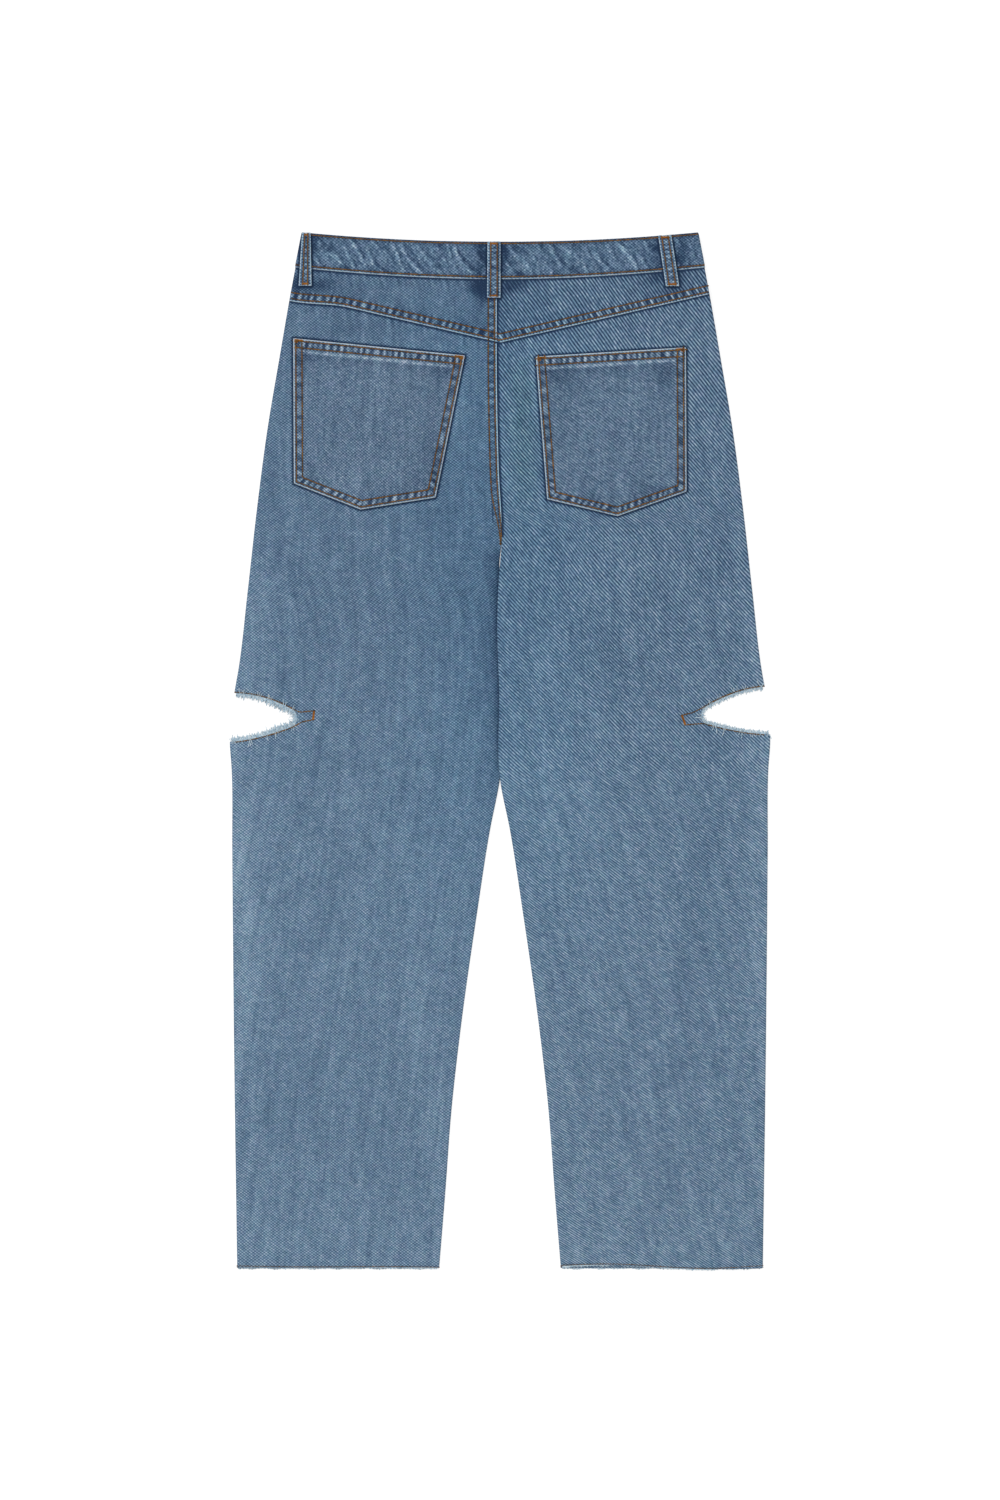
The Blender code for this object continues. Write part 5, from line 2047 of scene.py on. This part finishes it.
@dataclass
class Topstitching:
    """Every visible row of stitches and every bar tack."""

    pitch: float = 2.6
    length: float = 2.3
    thickness: float = 1.5
    bold: float = 1.35  # beside the slits
    thin: float = 0.7  # on the hems
    tack_pitch: float = 0.46
    tack_length: float = 2.3
    tack_thickness: float = 0.6
    rows: tuple[float, float] = (2.4, 8.5)  # their distances from a fold
    mouth_rows: tuple[float, float] = (2.1, 8.7)
    fly_rows: tuple[float, float] = (32.0, 38.0)
    loop_inset: float = 3.1
    yoke_end: float = 207.4  # how far out a row runs on the yoke
    band_ends: tuple[float, float] = (203.2, 196.5)  # and along the waistband's edges
    hem: tuple[float, float] = (61.5, 262.5)
    hem_up: float = 0.9
    first_seed: int = 10
    stitcher: Stitcher = field(default_factory=Stitcher)

    def yoke_rows(self) -> list[Seam]:
        """Lays two rows above the yoke's fold.

        Returns:
            The rows of both sides.
        """
        seams = []
        for side in Side:
            start = 3.5 if side is Side.LEFT else -1.0
            rows = [
                edge_run(lambda d: yoke_height(side, d), side, start, self.yoke_end, up)
                for up in self.rows
            ]
            seams.append(Seam(f"yoke_{side.word}_cloth", Layer.BACK, tuple(rows)))
        return seams

    def seat_row(self, inset: float, low: float, high: float) -> Array:
        """One row beside the seat seam, which draws in towards the crotch."""
        y = np.linspace(low, high, 60)
        return places(through(SEAT_SEAM, y) - inset * (0.12 + 0.88 * ease(y, 205.0, 262.0)), y)

    def seat_rows(self) -> list[Seam]:
        """Lays two rows beside the seat seam, on the leg and on through the yoke.

        Returns:
            The rows of the leg and those of the yoke.
        """
        parts = (("back_leg", 208.0, YOKE_MIDDLE - 1.0), ("yoke", YOKE_MIDDLE + 3.0, 471.0))
        return [
            Seam(part + "_left_cloth", Layer.BACK, tuple(self.seat_row(inset, *ends) for inset in self.rows))
            for part, *ends in parts
        ]

    def pocket_rows(self) -> tuple[list[Seam], list[Seam]]:
        """Lays two rows round each back pocket and along its mouth.

        Returns:
            The rows and the tacks at the mouth's ends.
        """
        seams, tacks = [], []
        for pocket in POCKETS:
            ring = pocket.ring()
            rows = [shifted(ring[[0, 4, 3, 2, 1]], inset) for inset in self.rows]
            rows += [shifted(ring[[1, 0]], inset) for inset in self.mouth_rows]
            seams.append(Seam(pocket.name + "_cloth", Layer.BACK, tuple(rows)))
            along = (ring[1] - ring[0]) / np.hypot(*(ring[1] - ring[0]))
            down = np.array([along[1], -along[0]])
            bars = [
                np.array([corner + way * 1.4 + down * depth, corner + way * reach + down * depth])
                for corner, way in ((ring[0], along), (ring[1], -along))
                for depth, reach in ((1.6, 9.6), (3.0, 4.6))
            ]
            tacks.append(Seam(pocket.name + "_cloth", Layer.BACK, tuple(bars), Lay.ACROSS))
        return seams, tacks

    def waistband_rows(self) -> list[Seam]:
        """Lays a row along each edge of the waistband, all round.

        Returns:
            The rows of the back and those of the front.
        """
        seams = []
        edges = ((Layer.BACK, BACK_BOTTOM, BACK_TOP), (Layer.FRONT, FRONT_BOTTOM, FRONT_TOP))
        for layer, low, high in edges:
            rows = []
            for side in Side:
                start = 0.0 if layer is Layer.BACK else 18.0 * side
                first, last = self.band_ends
                for curve, end, up in ((low, first, self.rows[0]), (high, last, -1.7)):
                    rows.append(edge_run(lambda d: waist_curve(curve, d), side, start, end, up))
            seams.append(Seam("waistband_cloth", layer, tuple(rows)))
        return seams

    def loop_rows(self) -> tuple[list[Seam], list[Seam]]:
        """Lays two rows up each belt loop.

        Returns:
            The rows and the tacks at the loops' ends.
        """
        seams, tacks = [], []
        for loop in LOOPS:
            share = 0.5 - self.loop_inset / ((loop.low_width + loop.high_width) / 2)
            along = np.linspace(0.03, 0.97, 12)
            rows = [places(*loop.grid(np.full(12, s), along)) for s in (-share, share)]
            seams.append(Seam(loop.name + "_cloth", loop.layer, tuple(rows)))
            across = np.linspace(-share - 0.06, share + 0.06, 5)
            bars = [places(*loop.grid(across, np.full(5, t))) for t in (0.035, 0.965)]
            tacks.append(Seam(loop.name + "_cloth", loop.layer, tuple(bars), Lay.ACROSS))
        return seams, tacks

    def slit_rows(self) -> tuple[list[Seam], list[Seam]]:
        """Lays a row beside both lips of each slit.

        Returns:
            The rows and the tacks that they end in, beyond the slits' tips.
        """
        tails = {
            Side.LEFT: (((200.0, 39.3), (186.0, 40.8)), ((198.0, 29.6), (187.0, 31.8))),
            Side.RIGHT: (((193.0, 38.9), (182.0, 36.2)), ((195.0, 27.4), (185.5, 26.6))),
        }
        seams, tacks = [], []
        for side in Side:
            slit, (above, below) = SLITS[side], tails[side]
            mouth = float(through(SIDE_SEAM, slit.top)) - 1.4
            distance = np.linspace(mouth, slit.tip[0] + 3.0, 30)
            lower, upper = slit.lips(distance)
            rows = tuple(
                np.array([*zip(distance, lip), *tail]) * (side, 1.0)
                for lip, tail in ((upper + 0.7, above), (lower - 0.7, below))
            )
            bar = np.array([above[-1], below[-1]]) * (side, 1.0)
            for layer in Layer:
                piece = leg_name(layer, side) + "_cloth"
                seams.append(Seam(piece, layer, rows))
                if layer is Layer.BACK:
                    tacks.append(Seam(piece, layer, (bar,), Lay.ACROSS))
        return seams, tacks

    def hem_rows(self) -> list[Seam]:
        """Lays a row just above each raw hem.

        Returns:
            The rows.
        """
        seams = []
        inner, outer = self.hem
        distance = np.linspace(inner, outer, 60)
        for side in Side:
            for layer in Layer:
                y = hem_height(side, layer, (distance - inner) / (outer - inner)) + self.hem_up
                seams.append(Seam(leg_name(layer, side) + "_cloth", layer, (places(side * distance, y),)))
        return seams

    def front_rows(self) -> tuple[list[Seam], list[Seam]]:
        """Lays the rows of the pocket mouths, the fly and the centre seam.

        Returns:
            The rows and the buttonhole.
        """
        seams = []
        turn = np.linspace(1.03 * math.pi, 1.46 * math.pi, 24)
        for side in Side:
            rows = []
            for out in (1.6, 7.6):
                x = MOUTH_CENTRE[0] + (MOUTH_REACH[0] + out) * np.cos(turn)
                y = MOUTH_CENTRE[1] + (MOUTH_REACH[1] + out) * np.sin(turn)
                below = y < waist_curve(FRONT_BOTTOM, x) - 1.0
                rows.append(places(side * x, y)[below])
            seams.append(Seam(f"front_leg_{side.word}_cloth", Layer.FRONT, tuple(rows)))
        fly = []
        bend = np.linspace(0.0, 0.5 * math.pi, 10)
        for out in self.fly_rows:
            low = FLY_END - 12.0 - (out - self.fly_rows[0])
            x = np.concatenate([[-out, -out], -out * np.cos(bend) ** 0.8])
            y = np.concatenate([[447.0, low + 42.0], low + 40.0 * (1.0 - np.sin(bend))])
            fly.append(places(x, y))
        centre = np.linspace(222.0, FLY_END - 8.0, 30)
        fly.append(places(through(CENTRE_FRONT, centre) - 2.2, centre))
        seams.append(Seam("front_leg_left_cloth", Layer.FRONT, tuple(fly)))
        hole = tuple(np.array([(-15.0, 467.0 + up), (4.0, 467.0 + up)]) for up in (-1.1, 1.1))
        return seams, [Seam("waistband_cloth", Layer.FRONT, hole, Lay.ACROSS)]

    def sewn(self, name: str, seams: list[Seam], cloth: Pieces, thread: Material, seed: int) -> Piece:
        """Lays the rows on the cloth and makes the stitches.

        Args:
            name: The new piece's name.
            seams: The rows, all with the same lay.
            cloth: Finished pieces by name.
            thread: The thread's material.
            seed: Seed of the stitches' small turns.

        Returns:
            One piece with all stitches.
        """
        rows = []
        for seam in seams:
            ground = Ground(cloth[seam.piece], seam.layer)
            for row in seam.rows:
                points, normals = ground.drop(*dense(row).T)
                rows.append((points, {"up": normals}))
        thickness = {"stitches_slits": self.bold, "stitches_hems": self.thin}.get(name, self.thickness)
        sizes, turn = (self.pitch, self.length, thickness), 0.0
        if seams[0].lay is Lay.ACROSS:
            sizes, turn = (self.tack_pitch, self.tack_length, self.tack_thickness), math.pi / 2
        pitch, length, thickness = (size * MM for size in sizes)
        return self.stitcher.grow(
            name, path_object(name + " rows", rows), thread, seed,
            Pitch=pitch, Length=length, Thickness=thickness, Turn=turn,
        )

    def build(self, cloth: Pieces, thread: Material, tack: Material) -> list[Piece]:
        """Makes all rows and tacks.

        Args:
            cloth: Finished pieces by name.
            thread: The rows' material.
            tack: The tacks' material.

        Returns:
            A piece for each part of the garment.
        """
        pocket_rows, pocket_tacks = self.pocket_rows()
        loop_rows, loop_tacks = self.loop_rows()
        slit_rows, slit_tacks = self.slit_rows()
        front_rows, front_tacks = self.front_rows()
        groups = (
            ("stitches_yoke", self.yoke_rows(), thread),
            ("stitches_seat", self.seat_rows(), thread),
            ("stitches_back_pockets", pocket_rows, thread),
            ("stitches_waistband", self.waistband_rows(), thread),
            ("stitches_belt_loops", loop_rows, thread),
            ("stitches_slits", slit_rows, thread),
            ("stitches_hems", self.hem_rows(), thread),
            ("stitches_front", front_rows, thread),
            ("tacks_back_pockets", pocket_tacks, tack),
            ("tacks_belt_loops", loop_tacks, tack),
            ("tacks_slits", slit_tacks, tack),
            ("buttonhole", front_tacks, tack),
        )
        return [
            self.sewn(name, seams, cloth, finish, self.first_seed + k)
            for k, (name, seams, finish) in enumerate(groups)
        ]


@dataclass(frozen=True)
class Yarn:
    """How thickly loose threads grow along an edge, in millimetres."""

    pitch: float
    thickness: float
    length: float  # as a share of the felt's reach
    fan: float


@dataclass
class RawEdges:
    """The loose threads at the slits and the hems."""

    frayer: Frayer = field(default_factory=Frayer)
    root: float = 0.8  # how far inside the edge the threads start
    mouth_inset: float = 1.8  # and how far from the side seam the first ones are
    slit_end: float = 268.5
    hem_span: tuple[float, float] = (62.5, 262.0)
    hem_felt: float = 1.3  # width of the felted strip at a hem
    felt_wall: float = 0.55
    felt_step: float = 0.55
    slit_yarn: Yarn = Yarn(0.42, 0.40, 1.02, 0.6)
    hem_yarn: Yarn = Yarn(0.60, 0.40, 1.15, 0.55)
    stray_yarn: Yarn = Yarn(0.9, 0.7, 1.0, 0.6)
    stray_reach: float = 5.0
    first_seed: int = 40

    def rooted(self, piece: Piece, layer: Layer, edge: Array, out: Array, reach: Array) -> Rooted:
        """Roots loose threads in the middle of the cloth.

        Args:
            piece: The cloth.
            layer: Back or front.
            edge: Places along the raw edge.
            out: Directions out of the cloth.
            reach: The threads' length as a share.

        Returns:
            Points in metres, with directions and shares by name.
        """
        points, normals = Ground(piece, layer).drop(*(edge - out * (self.root + 0.5)).T)
        points = points - normals * 0.55 * CLOTH * MM
        points[:, :2] = (edge - out * self.root) * MM
        droop = np.full(len(out), -0.06 if layer is Layer.BACK else 0.02)
        return points, {"out": np.column_stack([out, droop]), "reach": reach}

    def strip(self, name: str, rooted: Rooted, width: float, seed: int, finish: Material) -> Piece:
        """Felts the loose yarn at a raw edge into a thin uneven strip.

        Args:
            name: The new piece's name.
            rooted: Roots of the loose threads, from rooted().
            width: Usual width of the strip.
            seed: Seed of its unevenness.
            finish: The loose threads' material.

        Returns:
            The piece.
        """
        points, facts = rooted
        path = dense(np.column_stack([points / MM, facts["out"], facts["reach"]]), self.felt_step)
        roots, out, reach = path[:, :3], path[:, 3:6], path[:, 6]
        run = np.arange(len(path)) * self.felt_step
        share = np.array([0.0, 0.25, 0.5, 0.75, 1.0])[:, None]
        ragged = 0.95 + 0.75 * waver(run / 3.1, seed) + 0.45 * waver(run / 1.4, seed + 1)
        reached = (self.root + width * reach * np.clip(ragged, 0.25, 1.9))[None, :] * share
        grid = roots[None] + out[None] * reached[..., None]
        crumple = waver(run / 1.9 + 2.0 * share, seed + 2) + waver(3.0 * share - run / 2.7, seed + 3)
        grid[..., 2] += 0.2 * crumple * np.sqrt(share)
        flat = places(run + 0.0 * share, reached)
        return Cloth.of_grid(name, grid, flat, 0.0 * reached, FAR, FAR).made(self.felt_wall, finish)

    def slit(self, side: Side, layer: Layer, piece: Piece, seed: int) -> Rooted:
        """Roots threads round one slit in one ply.

        Args:
            side: The wearer's side.
            layer: Back or front.
            piece: The cloth.
            seed: Seed of their unevenness.

        Returns:
            What rooted() gives.
        """
        slit = SLITS[side]
        tip = slit.tip[0]
        distance = tip + (self.slit_end - tip) * np.linspace(0.0, 1.0, 90) ** 1.6
        lower, upper = slit.lips(distance)
        ring = np.concatenate([places(distance, lower)[::-1], places(distance, upper)[1:]])
        ring = ring[ring[:, 0] < through(SIDE_SEAM, ring[:, 1]) - self.mouth_inset]
        step = np.gradient(ring, axis=0)
        run = step / np.hypot(*step.T)[:, None]
        out = places(run[:, 1], -run[:, 0])
        place = np.cumsum(np.hypot(*step.T))
        reach = 0.92 + 0.16 * waver(place / 9.0, seed) + slit.shaggy * bell(ring[:, 0] - tip, 16.0, 13.0)
        if layer is Layer.FRONT:
            reach = reach * 0.75
        return self.rooted(piece, layer, ring * (side, 1.0), out * (side, 1.0), reach)

    def turned_back(self, rooted: Rooted, seed: int) -> Rooted:
        """Roots the few threads that lie back over the cloth.

        Args:
            rooted: Roots of the other threads of the edge.
            seed: Seed of their unevenness.

        Returns:
            What rooted() gives.
        """
        points, facts = rooted
        out = facts["out"]
        points = points + out * (self.root + 0.6) * MM
        points[:, 2] += 0.9 * MM
        place = np.cumsum(np.hypot(*np.gradient(points[:, :2], axis=0).T)) / MM
        back = np.column_stack([-out[:, :2], np.full(len(out), 0.05)])
        return points, {"out": back, "reach": np.maximum(0.35 + 1.6 * waver(place / 9.0, seed), 0.05)}

    def hem(self, side: Side, layer: Layer, piece: Piece, seed: int) -> Rooted:
        """Roots threads along one hem of one ply.

        Args:
            side: The wearer's side.
            layer: Back or front.
            piece: The cloth.
            seed: Seed of their unevenness.

        Returns:
            What rooted() gives.
        """
        inner, outer = self.hem_span
        distance = np.linspace(inner, outer, 90)
        edge = places(side * distance, hem_height(side, layer, (distance - inner) / (outer - inner)))
        out = np.tile((0.0, -1.0), (len(distance), 1))
        return self.rooted(piece, layer, edge, out, 0.7 + 0.5 * waver(distance / 21.0, seed))

    def grown(
        self, name: str, rooted: Rooted, yarn: Yarn, reach: float, finish: Material, seed: int,
    ) -> Piece:
        """Grows loose threads.

        Args:
            name: The new piece's name.
            rooted: Their roots.
            yarn: How they grow.
            reach: The felt's reach, in millimetres.
            finish: Their material.
            seed: Seed of everything random.

        Returns:
            The piece.
        """
        return self.frayer.grow(
            name, path_object(name + " roots", [rooted]), finish, seed, Pitch=yarn.pitch * MM,
            Length=reach * yarn.length * MM, Thickness=yarn.thickness * MM, Fan=yarn.fan,
        )

    def build(self, cloth: Pieces, thread: Material) -> list[tuple[Piece, str, str]]:
        """Makes the threads.

        Args:
            cloth: Finished pieces by name.
            thread: The loose threads' material.

        Returns:
            Pieces, each with the node that it stands for and its leg's piece.
        """
        made = []
        for side, layer in itertools.product(Side, Layer):
            leg = leg_name(layer, side) + "_cloth"
            seed = self.first_seed + 4 * side + (1 if layer is Layer.BACK else 2)
            edges = (
                ("slit", self.slit(side, layer, cloth[leg], seed), SLITS[side].fray, self.slit_yarn),
                ("hem", self.hem(side, layer, cloth[leg], seed), self.hem_felt, self.hem_yarn),
            )
            for kind, rooted, width, yarn in edges:
                node = f"{kind}_fray_{layer.value}_{side.word}"
                felt = self.strip(node + "_felt", rooted, width, seed, thread)
                threads = self.grown(node + "_threads", rooted, yarn, width + self.root, thread, seed)
                made += [(felt, node, leg), (threads, node, leg)]
            if layer is Layer.BACK:
                node = f"slit_fray_back_{side.word}"
                roots = self.turned_back(edges[0][1], seed)
                strays = self.grown(node + "_strays", roots, self.stray_yarn, self.stray_reach, thread, seed)
                made.append((strays, node, leg))
        return made


@dataclass
class Studio:
    """A pale floor, soft plain light and the camera straight above."""

    lens: float = 200.0
    sensor: float = 36.0
    view_height: float = 1.5
    aim: tuple[float, float] = (0.0, 0.0015)
    aim_height: float = 8.0 * MM
    floor_size: float = 9.0
    floor_drop: float = 0.2 * MM
    floor_glow: float = 0.78  # what makes the floor look white
    sky: float = 0.62
    key_power: float = 62.0
    key_size: float = 2.6
    key_place: tuple[float, float, float] = (-2.2, 2.4, 3.4)

    @staticmethod
    def seen(g: Graph) -> Socket:
        """Tells what the camera sees, also through glass and in shiny things.

        Args:
            g: The graph of a material or of the sky.

        Returns:
            1 for what is seen, 0 for what only lights.
        """
        ray = g.add("ShaderNodeLightPath").outputs
        looks = g.math("MAXIMUM", ray["Is Camera Ray"], ray["Is Glossy Ray"])
        return g.math("MAXIMUM", looks, ray["Is Transmission Ray"])

    def floor(self) -> None:
        """Lays the floor, which looks white but keeps the shadow."""
        half = self.floor_size / 2
        mesh = bpy.data.meshes.new("floor")
        corners = [(-half, -half, 0.0), (half, -half, 0.0), (half, half, 0.0), (-half, half, 0.0)]
        mesh.from_pydata(corners, [], [(0, 1, 2, 3)])
        material, g, shader = new_material("floor paper")
        g.fill(
            shader, Base_Color=(0.45, 0.45, 0.45, 1.0), Roughness=0.95, Specular_IOR_Level=0.0,
            Emission_Color=(1.0, 1.0, 1.0, 1.0),
            Emission_Strength=g.math("MULTIPLY", self.seen(g), self.floor_glow),
        )
        mesh.materials.append(material)
        floor = placed("floor", mesh)
        floor.location.z = -self.floor_drop

    def world(self) -> None:
        """Sets an even sky that looks white."""
        world = bpy.data.worlds.new("sky")
        world.use_nodes = True
        bpy.context.scene.world = world
        g = Graph(world.node_tree)
        strength = g.math("MULTIPLY_ADD", self.seen(g), 1.0 - self.sky, self.sky)
        g.fill(world.node_tree.nodes["Background"], Color=(1.0, 1.0, 1.0, 1.0), Strength=strength)

    def lamp(self) -> None:
        """Hangs a soft square lamp that faces the garment."""
        data = bpy.data.lights.new("key", "AREA")
        data.energy, data.size = self.key_power, self.key_size
        lamp = placed("key", data)
        lamp.location = self.key_place
        lamp.rotation_euler = (-Vector(self.key_place)).to_track_quat("-Z", "Y").to_euler()

    def camera(self) -> None:
        """Puts the camera straight above, with the waist at the top of the view."""
        data = bpy.data.cameras.new("camera")
        data.lens, data.sensor_height = self.lens, self.sensor
        data.sensor_fit = "VERTICAL"
        data.clip_end = 50.0
        camera = placed("camera", data)
        distance = self.view_height * self.lens / self.sensor
        camera.location = (*self.aim, distance + self.aim_height)
        bpy.context.scene.camera = camera

    def build(self) -> None:
        """Builds the whole studio."""
        self.floor()
        self.world()
        self.lamp()
        self.camera()
        bpy.context.scene.view_settings.view_transform = "Standard"


@dataclass(frozen=True)
class Cut:
    """What a sheet of cloth was cut to, in metres, and what it lies on."""

    flat: tuple[float, float]
    area: float | None
    rests_on: tuple[str, ...]
    slot: str = "denim"


GOES_WITH = {
    "back_leg_left_cloth": ("stitches_seat",),
    "back_leg_right_cloth": ("stitches_slits", "tacks_slits"),
    "front_leg_left_cloth": ("stitches_front",),
    "front_leg_right_cloth": ("stitches_hems",),
    "yoke_left_cloth": ("stitches_yoke",),
    "back_pocket_left_cloth": ("stitches_back_pockets", "tacks_back_pockets"),
    "waistband_cloth": (
        "stitches_waistband", "stitches_belt_loops", "tacks_belt_loops", "buttonhole",
        *(loop.name + "_cloth" for loop in LOOPS),
    ),
}


@dataclass
class Jeans:
    """The whole garment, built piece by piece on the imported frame."""

    frame: dict
    cloth: Pieces = field(default_factory=dict)
    frays: dict[str, tuple[str, ...]] = field(default_factory=dict)

    @staticmethod
    def report(piece: Piece) -> None:
        """Logs a finished piece."""
        log.info("%s: %d faces", piece.name, len(piece.data.polygons))

    def sew_in(self, cloth: Cloth, wall: float, finish: Material, node: str) -> None:
        """Builds a piece of cloth and lets it stand for a node of the frame.

        Args:
            cloth: Its middle surface.
            wall: Its thickness in millimetres.
            finish: Its material.
            node: The node.
        """
        piece = cloth.made(wall, finish)
        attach(piece, "root")
        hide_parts(node)
        self.cloth[piece.name] = piece
        self.report(piece)

    def build_panels(self, weaves: Weaves) -> None:
        """Builds legs, yokes, facings, waistband, pockets and belt loops.

        Args:
            weaves: The denims.
        """
        fine = tuple(np.arange(1.2, 14.0, 1.3))
        for side in Side:
            word, weave = side.word, weaves.of(side)
            for leg in (
                LegPanel(side, Layer.BACK, 2.9, 3.1, 1.9, fine),
                LegPanel(side, Layer.FRONT, 4.6, 5.2, 4.0),
            ):
                self.sew_in(leg.cloth(), CLOTH, weave, leg_name(leg.layer, side))
            self.sew_in(Yoke(side).cloth(), CLOTH, weave, f"yoke_{word}")
            facing = Facing(side).cloth()
            self.sew_in(facing, CLOTH, weaves.unworn, f"pocket_facing_{word}")
        self.sew_in(Waistband().cloth(), BAND, weaves.band, "waistband")
        for cut in POCKETS:
            weave = weaves.left_pocket if cut.side is Side.LEFT else weaves.right_pocket
            self.sew_in(PocketPatch(cut).cloth(), CLOTH, weave, cut.name)
        for loop in LOOPS:
            self.sew_in(loop.cloth(), STRAP, weaves.loop, loop.name)

    def build_threads(self) -> None:
        """Builds stitches, tacks and loose threads."""
        brown = Thread("topstitch thread", (56, 50, 42), (150, 108, 56)).made()
        orange = Thread("tack thread", (138, 84, 24), (196, 128, 44)).made()
        loose = Thread("loose threads", (142, 188, 216), (246, 253, 255), 1.2).made()
        for piece in Topstitching().build(self.cloth, brown, orange):
            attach(piece, "root")
            self.report(piece)
        for piece, node, leg in RawEdges().build(self.cloth, loose):
            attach(piece, "root")
            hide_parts(node)
            self.frays[leg] = (*self.frays.get(leg, ()), piece.name)
            self.report(piece)

    def dress_button(self) -> None:
        """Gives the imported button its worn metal."""
        button = self.frame["nodes"]["waist_button"]
        button.material_slots[0].material = WornBrass().made()
        self.report(button)


def main() -> None:
    """Loads the frame, builds the garment around it and sets the studio."""
    logging.basicConfig(level=logging.INFO, format="%(name)s: %(message)s")
    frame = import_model()
    jeans = Jeans(frame)
    jeans.build_panels(Weaves())
    jeans.build_threads()
    jeans.dress_button()
    Studio().build()


if __name__ == "__main__":
    main()
